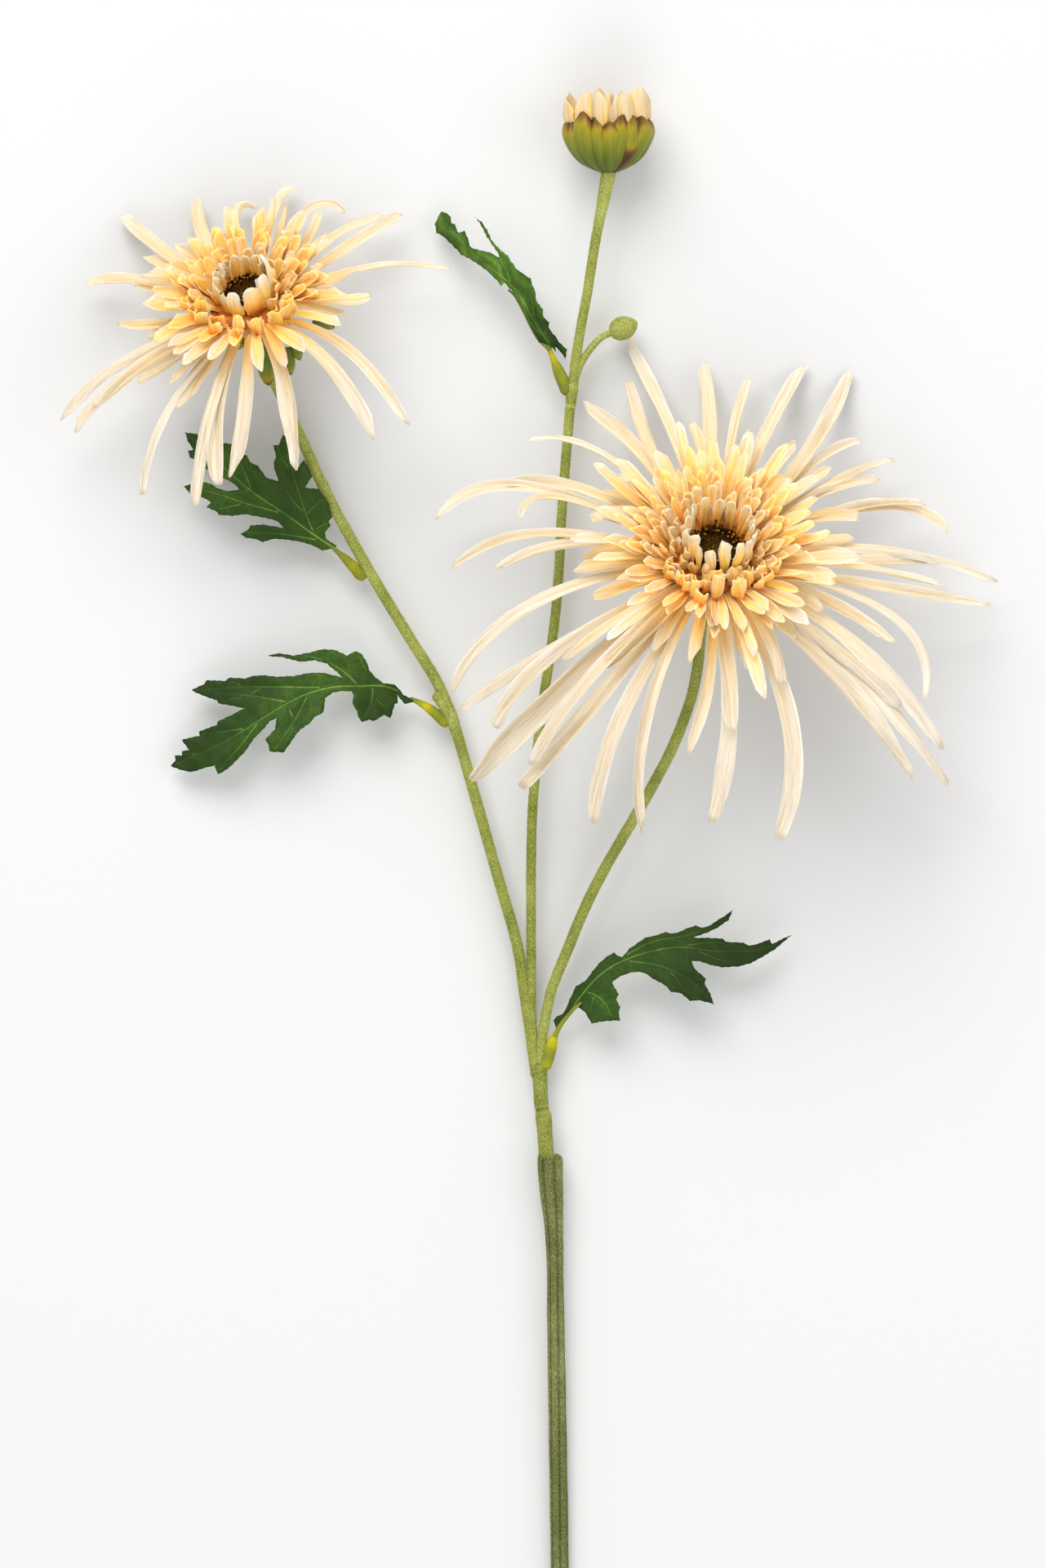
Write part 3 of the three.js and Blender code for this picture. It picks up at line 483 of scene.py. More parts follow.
def buildRays(bloom, material):
    shape = rayShape
    piece = Piece(bloom["name"] + "Rays")
    rng = np.random.default_rng(bloom["seed"])
    t = np.linspace(0, 1, shape["steps"] + 1)
    low, step = shape["overTier"]
    rays = [(ray, (k % 2) * shape["otherTier"], 0) for k, ray in enumerate(bloom["rays"])]
    rays += [(ray, low + step * (k % 3), 1) for k, ray in enumerate(bloom["overRays"])]
    for number, (ray, tier, over) in enumerate(rays):
        width = ray[4]
        line = rayLine(bloom, ray, tier)
        seed = bloom["seed"] * 1000 + number
        side = unitVector(np.cross(bloom["axis"], np.gradient(line, axis=0)))
        line = line + side * (shape["swing"] * wobble(seed, t) * np.sin(math.pi * t))[:, None]
        line[:, 2] = np.maximum(line[:, 2] + shape["swing"] * wobble(seed + 500, t) * t, shape["lowest"])
        widths = 1.08 * width * profileAt(shape["widths"], t)
        widths = widths * (1 + 0.08 * wobble(seed + 900, 2 * t))
        chance = 0.6 * rng.uniform()
        # paler at the tip, and below the disc, where the florets' shade would else darken the rays
        distance = distanceGone(line) / bloom["size"]
        way = unitVector((line[-1] - line[0]) * (1, 1, 0))
        tones = profileAt(shape["dyeByDistance"], distance) + 0.1 * np.clip(4 * t - 3, 0, 1)
        tones = tones + 0.03 * rng.normal() - 0.05 * over
        tones = tones + 0.14 * max(0.0, -way[1]) * np.clip((distance - 16) / 10, 0, 1)
        # painted shade: greyer in the outer half, most towards the lower left, and over the whole bloom by
        # its own painted shade
        lowerLeft = max(0.0, -0.7 * way[0] - 0.7 * way[1]) ** 2
        outerShade = 0.3 * bloom["paintedShade"] + (0.3 + 0.5 * lowerLeft) * np.clip(2 * t - 0.7, 0, 1)
        folded = rng.uniform(0.55, 1.05) if rng.uniform() < 0.7 else -rng.uniform(0.4, 0.8)
        roll = 0.3 * rng.normal() * (0.4 + 0.6 * t) + 0.3 * wobble(seed + 300, t) * t
        addBlade(piece, line, bloom["axis"], widths, tones, chance, cup=folded * profileAt(shape["cups"], t),
                 roll=roll, ribs=0.05, across=shape["across"], tip=rayTip(rng, width),
                 crease=(rng.uniform(0.25, 0.75), rng.uniform(-0.5, 0.5)), hood=0.4 * rng.uniform(),
                 ruffle=0.18, rim=0.18, shade=0.3 * rng.uniform() ** 2 + outerShade)
    addTurned(piece, np.array(shape["core"]) * bloom["size"], bloom["centre"], bloom["axis"], tone=0.3)
    piece.finish(material, [bloom["name"] + "_rays"])


def floretPlace(bloom, rng, row, number):
    # its turn round the disc, how near the foot of the view it is (0 to 1), and whether it curls in
    count = bloom["rings"][row][0]
    turn = (number + 0.5 * (row % 2) + 0.6 * rng.uniform(-0.5, 0.5)) / count * 2 * math.pi + 0.37 * row
    if row == 0:
        turn = math.radians(bloom["inner"][number][0])
    near = max(0.0, -math.sin(turn))
    return turn, near, near > 0.4 and bloom["boxRows"][0] <= row <= bloom["boxRows"][1]


def isMissing(bloom, rng, row, turn, near, boxed):
    if row in bloom["innerGaps"] and near > 0.5:
        return True
    thinFrom, thinTo, thinShare = bloom["thinned"]
    around = math.degrees(math.atan2(math.sin(turn), math.cos(turn)))
    thin = thinFrom < around < thinTo and near > 0.5 and row > len(bloom["rings"]) - 4
    return rng.uniform() < (floretShape["boxMissing"] * (near > 0.75) if boxed else thinShare * thin)


def floretLine(bloom, rng, row, number, turn, near, boxed):
    # its midline, the way that its root faces, and its width
    shape, size, axis = floretShape, bloom["size"], bloom["axis"]
    root, leanRoot, leanTip, length, width = bloom["rings"][row][1:6]
    t = np.linspace(0, 1, shape["steps"] + 1)
    out = outAt(bloom, turn)
    reach = length * size * rng.uniform(0.84, 1.14)
    start = math.radians(leanRoot + rng.normal() * 3.0)
    end = math.radians(leanTip + rng.normal() * (5 + row))
    bend = t**1.5
    if row == 0:
        fan, longer, wider, leanTip = bloom["inner"][number][1:]
        reach = length * size * longer * rng.uniform(0.96, 1.04)
        end = math.radians(leanTip + 3 * rng.normal())
    if boxed:
        end = lerp(end, math.radians(rng.uniform(*shape["boxLean"])), near)
        bend = lerp(bend, profileAt(shape["boxBend"], t), near)
        reach *= rng.uniform(*shape["boxReach"])
    elif row > bloom["boxRows"][1]:
        reach *= 1 + 0.08 * near
    slope = lerp(start, end, bend)
    step = reach / shape["steps"]
    along = np.r_[0, np.cumsum(np.cos(slope[:-1]))] * step
    rise = np.r_[0, np.cumsum(np.sin(slope[:-1]))] * step
    if boxed:
        along = along + (bloom["boxShift"] + 0.6 * rng.normal()) * near
    if row > 0:
        fan = 0.06 * rng.normal() * reach
    line = (bloom["centre"] + out * (root * size + along)[:, None]
            + axis * (shape["rootLevel"] * size + rise)[:, None]
            + np.cross(axis, out) * (fan * t**1.6)[:, None])
    line[:, 2] = np.maximum(line[:, 2], shape["lowest"])
    wide = width * size * rng.uniform(0.78, 1.15) * (1.15 if boxed else 1.0)
    if row == 0:
        wide = width * size * wider
    return line, axis * math.cos(start) - out * math.sin(start), wide


def floretTip(rng, row, width, boxed, near):
    # Its tip and the share of its width there. The innermost florets are arched or cut square and
    # notched, the next ones square or oval, the outer ones oval and a few pointed.
    draw = rng.uniform()
    if row == 0 and (near > 0.3 or draw < 0.3):
        return ("arch", 0.7 * width, rng.uniform(-0.5, 0.5)), 0.84
    if row == 0 or (row < 5 and draw < 0.5) or (boxed and draw < 0.85):
        return ("square", 0.5 * width, rng.uniform(-0.4, 0.4)), 0.84
    if draw < 0.9:
        return ("oval", 0.8 * width, rng.uniform(-0.45, 0.45)), 0.66
    return ("point", 1.0 * width, rng.uniform(-0.4, 0.4)), 0.6


def floretTones(bloom, rng, row, near, boxed, t):
    outward = max(0.0, (row - 3) / 8)
    tipTone = bloom["rings"][row][6]
    tones = profileAt(floretShape["innerTones"], t)
    if row > 0:
        tones = profileAt([(0, 0.03 + 0.04 * min(row, 3) + 0.26 * outward), (0.35, 0.25 + 0.23 * outward),
                           (0.7, lerp(0.32, tipTone, 0.5)), (1, tipTone)], t)
    tones = tones + 0.05 * rng.normal() + (0.08 * near if outward > 0.4 else 0)
    if boxed:
        return tones - near * (0.07 + 0.14 * (1 - t))
    # painted light: rows one to three, away from the near side, are lighter against the shade among the
    # florets
    return tones + 0.08 * (1 - near) * (0 < row < 4)


def buildFlorets(bloom, material):
    shape = floretShape
    piece = Piece(bloom["name"] + "Florets")
    rng = np.random.default_rng(bloom["seed"] + 50)
    t = np.linspace(0, 1, shape["steps"] + 1)
    for row, number in [(row, k) for row, ring in enumerate(bloom["rings"]) for k in range(ring[0])]:
        turn, near, boxed = floretPlace(bloom, rng, row, number)
        if isMissing(bloom, rng, row, turn, near, boxed):
            continue
        line, face, wide = floretLine(bloom, rng, row, number, turn, near, boxed)
        tip, tipShare = floretTip(rng, row, wide, boxed, near)
        widths = wide * profileAt(bloom["innerWidths"] if row == 0 else shape["widths"] + [(1, tipShare)], t)
        tones = floretTones(bloom, rng, row, near, boxed, t)
        # more of the inner rows' florets take the lemon dye, partly a real dye and partly painted light in
        # the shaded heart
        chance = rng.uniform(0.7, 1) if row == 0 else rng.uniform(0.3 if row < 5 else 0, 1)
        # painted shade: a little at random and the bloom's painted shade, less on the near side; none on the
        # innermost row
        addBlade(piece, line, face, widths, tones, chance,
                 cup=rng.uniform(0.5, 1.0 if row < 5 else 1.2) * lerp(1.0, 0.8, t),
                 roll=0.35 * rng.normal() * t, ribs=0.04, across=shape["across"], thickness=0.24, tip=tip,
                 crease=(rng.uniform(0.1, 0.6) + 0.3 * boxed, rng.uniform(-0.5, 0.5)),
                 hood=0.0 if tip[0] == "square" else rng.uniform(-0.2, 0.7), ruffle=0.2,
                 rim=0.5 if boxed else 0.32,
                 shade=0 if row == 0 else 0.12 * rng.uniform() + bloom["paintedShade"] * (1 - 0.5 * near))
    addTurned(piece, np.array(shape["core"]) * bloom["size"], bloom["centre"], bloom["axis"], tone=0.05)
    piece.finish(material, [bloom["name"] + "_florets"])


# a low flocked cushion of knobs, with a fringe of stamens round its rim
discShape = {
    "base": [(0.01, -5.8), (7.2, -5.8), (7.7, -4.8), (7.0, -3.6), (4.6, -3.1), (2.2, -3.1), (0.01, -3.2)],
    "level": -4.8, "radius": 7.3, "knobs": 420, "knobRadius": 0.34, "knobHeight": 2.1,
    "stamens": 130, "stamenRadius": 0.32, "stamenReach": (5.4, 7.6), "stamenHeight": (2.8, 4.4),
    "golden": (0.42, 0.16),   # shares of golden stamens on the far and the near side
}


def buildDisc(bloom, material):
    piece = Piece(bloom["name"] + "Disc")
    rng = np.random.default_rng(bloom["seed"] + 90)
    shape, size, axis = discShape, bloom["size"], bloom["axis"]
    addTurned(piece, np.array(shape["base"]) * size, bloom["centre"], axis, tone=0.08)
    for number in range(shape["knobs"]):
        share = math.sqrt((number + 0.5) / shape["knobs"])
        turn = number * math.pi * (3 - math.sqrt(5))  # the golden angle, as seeds lie in a sunflower
        out = outAt(bloom, turn)
        foot = bloom["centre"] + (out * shape["radius"] * share + axis * shape["level"]) * size
        way = unitVector(axis + 0.3 * out * share + 0.12 * rng.normal(size=3))
        height = (shape["knobHeight"] + 0.5 * (share - 0.5) + 0.18 * rng.normal()) * size
        wide = shape["knobRadius"] * size * rng.uniform(0.85, 1.2)
        knob = [(0.8 * wide, 0), (0.9 * wide, 0.6 * height), (wide, 0.85 * height), (0.01, height)]
        # olive in the middle and towards the near side, brown elsewhere
        green = max(0.0, 1 - 1.7 * share) + 0.35 * max(0.0, -math.sin(turn)) * (1 - share)
        tone = lerp(0.2, 0.46, min(1, green)) + 0.07 * rng.normal()
        addTurned(piece, knob, foot, way, sides=6, tone=[0.4 * tone, 0.7 * tone, tone, 1.1 * tone])
    for number in range(shape["stamens"]):
        turn = (number + rng.uniform(-0.4, 0.4)) / shape["stamens"] * 2 * math.pi
        out = outAt(bloom, turn)
        foot = bloom["centre"] + (out * rng.uniform(*shape["stamenReach"]) + axis * shape["level"]) * size
        way = unitVector(axis + out * rng.uniform(-0.3, 0.3) + 0.15 * rng.normal(size=3))
        height = rng.uniform(*shape["stamenHeight"]) * size
        wide = shape["stamenRadius"] * size
        golden = rng.uniform() < shape["golden"][0 if math.sin(turn) > 0 else 1]
        bright = rng.uniform(0.75, 1.0) if golden else rng.uniform(0.08, 0.26)
        stamen = [(0.7 * wide, 0), (0.6 * wide, 0.7 * height), (1.1 * wide, 0.86 * height), (0.01, height)]
        addTurned(piece, stamen, foot, way, sides=5, tone=[0.06, 0.12, bright, bright])
    piece.finish(material, [bloom["name"] + "_disc"])


calyxShape = {
    "cup": [(0.01, -27.6), (2.2, -27.6), (3.4, -26.6), (5, -25), (8.0, -22), (9.4, -19.8), (9.2, -18.6),
            (0.01, -18.2)],
    "bracts": 10, "bractWidth": 5.4, "bractThickness": 0.7,
    "layers": [(0, 1.0, 0.0), (0.5, 0.82, -1.6)],  # shift round the cup, share of reach, level
    "widths": [(0, 0.7), (0.4, 1), (0.8, 0.9), (1, 0.5)],
    "tones": [(0, 0.3), (0.6, 0.45), (0.85, 0.6), (1, 0.95)],
}


def buildCalyx(bloom, material):
    shape = calyxShape
    piece = Piece(bloom["name"] + "Calyx")
    rng = np.random.default_rng(bloom["seed"] + 130)
    size, axis = bloom["size"], bloom["axis"]
    addTurned(piece, np.array(shape["cup"]) * size, bloom["centre"], axis, tone=0.35)
    t = np.linspace(0, 1, 13)
    look = {"thickness": shape["bractThickness"], "ribs": 0.05}
    for shift, reach, level in shape["layers"]:
        for number in range(shape["bracts"]):
            turn = (number + shift + 0.2 * rng.normal()) / shape["bracts"] * 2 * math.pi
            out = outAt(bloom, turn)
            path = [(4.6, -24.4 + level), (7.6, -22.2 + level), (10.6 * reach, -20.6 + level),
                    (14 * reach, -17.8 + level + 0.6 * rng.normal())]
            line = smoothRoute([bloom["centre"] + (out * r + axis * h) * size for r, h in path], 12)
            addBlade(piece, line, axis, shape["bractWidth"] * size * profileAt(shape["widths"], t),
                     profileAt(shape["tones"], t), rng.uniform(), cup=0.7, tip=("round", 2.4 * size, 0.0),
                     hood=0.6, **look)
    for u0, v0, u1, v1, width, high, low in bloom["bracts"]:
        line = lerp(front(u0, v0, high), front(u1, v1, low), t[:, None])
        line[:, 2] += 1.5 * np.sin(math.pi * t)
        addBlade(piece, line, zAxis, width * profileAt(shape["widths"][:-1] + [(1, 0.55)], t),
                 profileAt([(0, 0.2), (0.6, 0.35), (0.85, 0.6), (1, 1)], t), rng.uniform(), cup=-0.6,
                 tip=("round", width / 2, 0.0), **look)
    piece.finish(material, [bloom["name"] + "_calyx"])


# materials

def toLinear(code):
    parts = [int(code[k:k + 2], 16) / 255 for k in (1, 3, 5)]
    return (*[p / 12.92 if p <= 0.04045 else ((p + 0.055) / 1.055) ** 2.4 for p in parts], 1)


def addNode(tree, kind, links=None, ramp=None, **settings):
    # links: what goes into each input, a value, a socket, or a node for its first output
    node = tree.nodes.new("ShaderNode" + kind)
    for name, value in settings.items():
        setattr(node, name, value)
    if ramp:
        stops = node.color_ramp.elements
        while len(stops) < len(ramp):
            stops.new(0.5)
        for stop, (place, colour) in zip(stops, ramp):
            stop.position = place
            stop.color = toLinear(colour)
    for key, value in (links or {}).items():
        if isinstance(value, bpy.types.Node):
            value = value.outputs[0]
        if isinstance(value, bpy.types.NodeSocket):
            tree.links.new(value, node.inputs[key])
        else:
            node.inputs[key].default_value = value
    return node


def newMaterial(name):
    material = bpy.data.materials.new(name)
    material.use_nodes = True
    material.node_tree.nodes.clear()
    return material, material.node_tree


def pieceMaterial(name):
    # a new material, its tree, and each point's marks: tone, chance or vein, and painted shade on blades,
    # the paler underside on leaves
    material, tree = newMaterial(name)
    marks = addNode(tree, "Attribute", attribute_name="marks")
    split = addNode(tree, "SeparateColor", {"Color": marks})
    return material, tree, split.outputs


def finishMaterial(tree, shading, height, strength, depth, **settings):
    # relief that is depth millimetres deep, the shader, and the output
    bump = addNode(tree, "Bump", {"Strength": strength, "Distance": depth * mm, "Height": height})
    shader = addNode(tree, "BsdfPrincipled", {**shading, "Normal": bump}, **settings)
    addNode(tree, "OutputMaterial", {"Surface": shader})


# Petal cloth: thin polyester dyed from orange roots through gold to cream, pressed with fine
# lengthwise folds. It is matt, and light comes through it, which makes the heart glow. Painted
# shade darkens the fold streaks, the undersides and the blades' shade marks.
petalCloth = {
    "ramp": [(0.0, "#a03c14"), (0.1, "#ee963e"), (0.24, "#fec66c"), (0.4, "#fad286"), (0.55, "#eed3a4"),
             (0.7, "#ddcfb6"), (0.85, "#d7d0c5"), (1.0, "#dad7d2")],
    # painted shade for the fold streaks, the undersides and the shade marks: rust at the root, old gold,
    # then khaki-grey
    "paintedShadeRamp": [(0.0, "#74260c"), (0.2, "#da9236"), (0.45, "#dcb25c"), (0.7, "#ccb688"), (1.0, "#beb29c")],
    "lemon": "#f3d468",       # a yellower dye that some florets took
    "lightDepth": 0.85,       # millimetres that light wanders in the cloth
    "foldWidth": 0.6,         # millimetres from fold to fold
    "foldLength": 14.0,
    "blotchesPerMm": (0.3, 0.12, 1),  # across and along
    "bumpDepth": 0.25,
}


def makePetalCloth():
    look = petalCloth
    material, tree, (tone, chance, under) = pieceMaterial("petalClothDyedAndShaded")
    uv = addNode(tree, "UVMap", uv_map="millimetres")
    lengthwise = addNode(tree, "Mapping", {"Vector": uv,
                         "Scale": (1 / look["foldWidth"], 1 / look["foldLength"], 1)})
    folds = addNode(tree, "TexNoise", {"Vector": lengthwise, "Scale": 1.0, "Detail": 3.0,
                    "Roughness": 0.55})
    blotch = addNode(tree, "Mapping", {"Vector": uv, "Scale": look["blotchesPerMm"]})
    patches = addNode(tree, "TexNoise", {"Vector": blotch, "Scale": 1.0, "Detail": 2.0})
    shift = addNode(tree, "MapRange", {"Value": patches, "To Min": -0.1, "To Max": 0.1})
    moved = addNode(tree, "Math", {0: tone, 1: shift}, operation="ADD", use_clamp=True)
    dye = addNode(tree, "ValToRGB", {"Fac": moved}, ramp=look["ramp"])
    lucky = addNode(tree, "MapRange", {"Value": chance, "From Min": 0.6, "From Max": 1.0, "To Max": 0.8})
    golden = addNode(tree, "MapRange", {"Value": tone, "From Min": 0.3, "From Max": 0.8, "To Min": 1.0,
                     "To Max": 0.0})
    yellow = addNode(tree, "Math", {0: lucky, 1: golden}, operation="MULTIPLY")
    tinted = addNode(tree, "Mix", {0: yellow, 6: dye, 7: toLinear(look["lemon"])}, data_type="RGBA")
    # painted shade: the fold streaks and the shade marks mix the dye towards these darker colours
    paintedShadeColour = addNode(tree, "ValToRGB", {"Fac": moved}, ramp=look["paintedShadeRamp"])
    foldShade = addNode(tree, "MapRange", {"Value": folds, "From Min": 0.36, "From Max": 0.56,
                        "To Min": 0.5, "To Max": 0.0})
    underShade = addNode(tree, "Math", {0: under, 1: 0.6, 2: foldShade}, use_clamp=True,
                         operation="MULTIPLY_ADD")
    shaded = addNode(tree, "Mix", {0: underShade, 6: tinted.outputs[2], 7: paintedShadeColour}, data_type="RGBA")
    finishMaterial(tree, {
        "Base Color": shaded.outputs[2], "Roughness": 0.65, "IOR": 1.45, "Specular IOR Level": 0.2,
        "Subsurface Weight": 1.0, "Subsurface Radius": (1.0, 0.75, 0.45),
        "Subsurface Scale": look["lightDepth"] * mm},
        folds, 0.6, look["bumpDepth"], subsurface_method="BURLEY")
    return material


# Disc flock: short dark fibre on moulded knobs, near black in the hollows, olive in the middle,
# brown at the rim with a few golden points.
discFlock = {
    "ramp": [(0.0, "#1a0c03"), (0.14, "#3a2006"), (0.28, "#54360b"), (0.48, "#66621a"), (0.66, "#9c6c1a"),
             (1.0, "#f0b048")],
    "fibresPerMetre": 2600.0,  # tufts of 0.4 mm, coarser than real so that they show
    "bumpDepth": 0.12,
}


def makeDiscFlock():
    look = discFlock
    material, tree, marks = pieceMaterial("discFlock")
    place = addNode(tree, "NewGeometry")
    grain = addNode(tree, "TexNoise", {"Vector": place, "Scale": look["fibresPerMetre"], "Detail": 3.0})
    dye = addNode(tree, "ValToRGB", {"Fac": marks[0]}, ramp=look["ramp"])
    finishMaterial(tree, {
        "Base Color": dye, "Roughness": 0.9, "IOR": 1.45, "Specular IOR Level": 0.1},
        grain, 0.6, look["bumpDepth"])
    return material


# Moulded polythene of the calyx and bracts: yellow-green, veined along its length, brown where
# the thin tips were airbrushed, with a soft satin shine. Its dark brown is also painted shade
# on the bud's core and on a bract where it shows in a gap.
bractPolythene = {
    "ramp": [(0.0, "#3f4c14"), (0.3, "#65721a"), (0.5, "#83851a"), (0.66, "#9e8f14"), (0.8, "#8b650b"),
             (1.0, "#4a2e0e")],
    "veinWidth": 0.7, "veinLength": 9.0, "bumpDepth": 0.2, "lightDepth": 1.0,
}


def makeBractPlastic():
    look = bractPolythene
    material, tree, marks = pieceMaterial("bractPolythene")
    uv = addNode(tree, "UVMap", uv_map="millimetres")
    lengthwise = addNode(tree, "Mapping", {"Vector": uv,
                         "Scale": (1 / look["veinWidth"], 1 / look["veinLength"], 1)})
    veins = addNode(tree, "TexNoise", {"Vector": lengthwise, "Scale": 1.0, "Detail": 3.0})
    shift = addNode(tree, "MapRange", {"Value": veins, "To Min": -0.2, "To Max": 0.2})
    moved = addNode(tree, "Math", {0: marks[0], 1: shift}, operation="ADD", use_clamp=True)
    dye = addNode(tree, "ValToRGB", {"Fac": moved}, ramp=look["ramp"])
    finishMaterial(tree, {
        "Base Color": dye, "Roughness": 0.45, "IOR": 1.5, "Specular IOR Level": 0.3,
        "Subsurface Weight": 0.1, "Subsurface Radius": (0.8, 1.0, 0.3),
        "Subsurface Scale": look["lightDepth"] * mm}, veins, 0.5, look["bumpDepth"])
    return material


# Flocked stem: polythene over wire with short green fibre glued on, so it looks soft and dusty,
# speckled light and dark, with a pale rim.
stemFlocks = {
    "branchFlock": {
        "ramp": [(0.0, "#4c5318"), (0.25, "#6c742f"), (0.5, "#8c9242"), (0.75, "#aaad5a"), (1.0, "#cecd8a")],
        "patchLength": 9.0, "sheen": 0.6, "grain": 0.26},
    "lowerStemFlock": {
        "ramp": [(0.0, "#393d1c"), (0.3, "#5a5e30"), (0.55, "#787b49"), (0.8, "#989a68"), (1.0, "#b5b68a")],
        "patchLength": 12.0, "sheen": 0.6, "grain": 0.26},
    # the collars are the same plastic with hardly any fibre
    "collarPolythene": {
        "ramp": [(0.0, "#545e1c"), (0.35, "#7a8230"), (0.6, "#949422"), (0.85, "#b3ab12"), (1.0, "#cabd20")],
        "patchLength": 5.0, "sheen": 0.15, "grain": 0.12},
}
fibresPerMetre = 2000.0       # fibre clumps of 0.5 mm, larger than real so that the speckle shows
fibreDepth = 0.22


def makeStemFlock(name):
    look = stemFlocks[name]
    material, tree, marks = pieceMaterial(name)
    place = addNode(tree, "NewGeometry")
    fibre = addNode(tree, "TexNoise", {"Vector": place, "Scale": fibresPerMetre,
                    "Detail": 2.0, "Roughness": 0.7})
    patches = addNode(tree, "TexNoise", {"Vector": place,
                      "Scale": 1000.0 / look["patchLength"], "Detail": 3.0})
    speckle = addNode(tree, "MapRange", {"Value": fibre, "From Min": 0.3, "From Max": 0.7,
                      "To Min": -look["grain"], "To Max": look["grain"]})
    slow = addNode(tree, "MapRange", {"Value": patches, "From Min": 0.3, "From Max": 0.7,
                   "To Min": -0.14, "To Max": 0.14})
    both = addNode(tree, "Math", {0: speckle, 1: slow}, operation="ADD")
    moved = addNode(tree, "Math", {0: marks[0], 1: both}, operation="ADD", use_clamp=True)
    dye = addNode(tree, "ValToRGB", {"Fac": moved}, ramp=look["ramp"])
    finishMaterial(tree, {
        "Base Color": dye, "Roughness": 0.9, "IOR": 1.5, "Specular IOR Level": 0.2,
        "Sheen Weight": look["sheen"], "Sheen Roughness": 0.4,
        "Sheen Tint": toLinear("#c9d08a")}, fibre, 0.8, fibreDepth)
    return material


# Leaf cloth: dark green polyester printed with lighter veins, pressed into relief.
leafCloth = {
    "ramp": [(0.0, "#192909"), (0.3, "#23380d"), (0.5, "#2f4a13"), (0.75, "#4f7024"), (1.0, "#88a443")],
    "underside": "#6f8a55",
    "patchesPerMetre": 160.0,
    "weave": 0.45,            # millimetres from thread to thread, coarser than real so that it shows
    "netting": 1.8,           # millimetres across a mesh of the finest veins
    "bumpDepth": 0.3,
}


def makeLeafCloth():
    look = leafCloth
    material, tree, (tone, vein, under) = pieceMaterial("leafClothPrinted")
    place = addNode(tree, "NewGeometry")
    patches = addNode(tree, "TexNoise", {"Vector": place, "Scale": look["patchesPerMetre"], "Detail": 4.0})
    threads = addNode(tree, "TexNoise", {"Vector": place, "Scale": 1000 / look["weave"], "Detail": 1.0})
    net = addNode(tree, "TexVoronoi", {"Vector": place, "Scale": 1000 / look["netting"]},
                  feature="DISTANCE_TO_EDGE")
    netLines = addNode(tree, "MapRange", {"Value": net, "From Min": 0.0, "From Max": 0.1,
                       "To Min": 0.08, "To Max": 0.0})
    shift = addNode(tree, "MapRange", {"Value": patches, "To Min": -0.2, "To Max": 0.2})
    moved = addNode(tree, "Math", {0: tone, 1: shift}, operation="ADD")
    netted = addNode(tree, "Math", {0: moved, 1: netLines}, operation="ADD")
    veined = addNode(tree, "Math", {0: vein, 1: 0.55, 2: netted}, operation="MULTIPLY_ADD", use_clamp=True)
    dye = addNode(tree, "ValToRGB", {"Fac": veined}, ramp=look["ramp"])
    pale = addNode(tree, "Mix", {0: under, 6: dye, 7: toLinear(look["underside"])}, data_type="RGBA")
    height = addNode(tree, "Math", {0: threads, 1: 0.3, 2: patches}, operation="MULTIPLY_ADD")
    finishMaterial(tree, {
        "Base Color": pale.outputs[2], "Roughness": 0.62, "IOR": 1.45, "Specular IOR Level": 0.22},
        height, 0.6, look["bumpDepth"])
    return material


petalMaterial = makePetalCloth()
discMaterial = makeDiscFlock()
bractMaterial = makeBractPlastic()
branchMaterial = makeStemFlock("branchFlock")
lowerStemMaterial = makeStemFlock("lowerStemFlock")
leafMaterial = makeLeafCloth()
collarMaterial = makeStemFlock("collarPolythene")
print("materials made")

for bloom in (rightBloom, leftBloom):
    buildRays(bloom, petalMaterial)
    buildFlorets(bloom, petalMaterial)
    buildDisc(bloom, discMaterial)
    buildCalyx(bloom, bractMaterial)
print("blooms made")


# stems

def calyxEnd(bloom, depth=28, clearance=0.1):
    foot = bloom["centre"] - bloom["axis"] * (depth * bloom["size"] + clearance)
    return [foot - bloom["axis"] * 6, foot]


footHeight, forkHeight, budHeight = 2.3, 7.0, 15.0
stems = {
    "centre": [
        (659, 1330, 7), (655, 1300, 7), (652.5, 1270, 7), (651, 1240, 7), (650.5, 1150, 7),
        (650.5, 1075, 7), (652, 1000, 7), (660, 900, 7), (679.5, 760, 7), (684.5, 700, 7.2),
        (687.5, 640, 7.5), (692.5, 570, 8), (698.5, 500, 8.5), (703, 460, 9), (706, 435, 9.5),
        (712.5, 395, 10.5), (720, 355, 11.5), (726, 315, 12.5), (733, 275, 13.3), (741, 235, 14.3),
        (745.5, 212, budHeight), (746, 208, budHeight)],
    "left": [
        (657, 1318, 7), (653, 1290, 7), (649, 1260, 7), (644.5, 1230, 7), (640, 1200, 7), (636, 1170, 7),
        (629, 1140, 7), (611.5, 1080, 7), (594.5, 1020, 7), (577.5, 960, 7), (560, 900, 7),
        (537.5, 840, 7.1), (501, 780, 7.3), (464.5, 720, 7.8), (430, 660, 8.4), (398, 600, 9.5),
        (374, 548, 11)],
    "right": [
        (661, 1318, 7), (662, 1295, 7.3), (664, 1272, 7.6), (667.5, 1250, 7.6), (671.5, 1230, 7.6),
        (676.5, 1210, 7.4), (696.5, 1160, 8), (717.5, 1110, 9), (743, 1060, 10), (772, 1010, 11.6),
        (800.5, 960, 13.6), (826, 910, 16.5), (850, 840, 21.5)],
    "stalk": [
        (702, 474, 8.8), (709, 450, 9), (722, 428, 9), (737, 412, 9), (753, 405.5, 9)],
    "stub": [
        (553, 884, 7), (544, 866, 8.0), (532, 848, 8.6)],
    "sleeve": [
        (661, 1303, 7.1), (661.5, 1322, 7.1), (663.5, 1356, 7.1), (665.3, 1364, 7.1), (667.5, 1390, 7.1),
        (669.3, 1415, 7.1), (671, 1436, 7.1)],
}
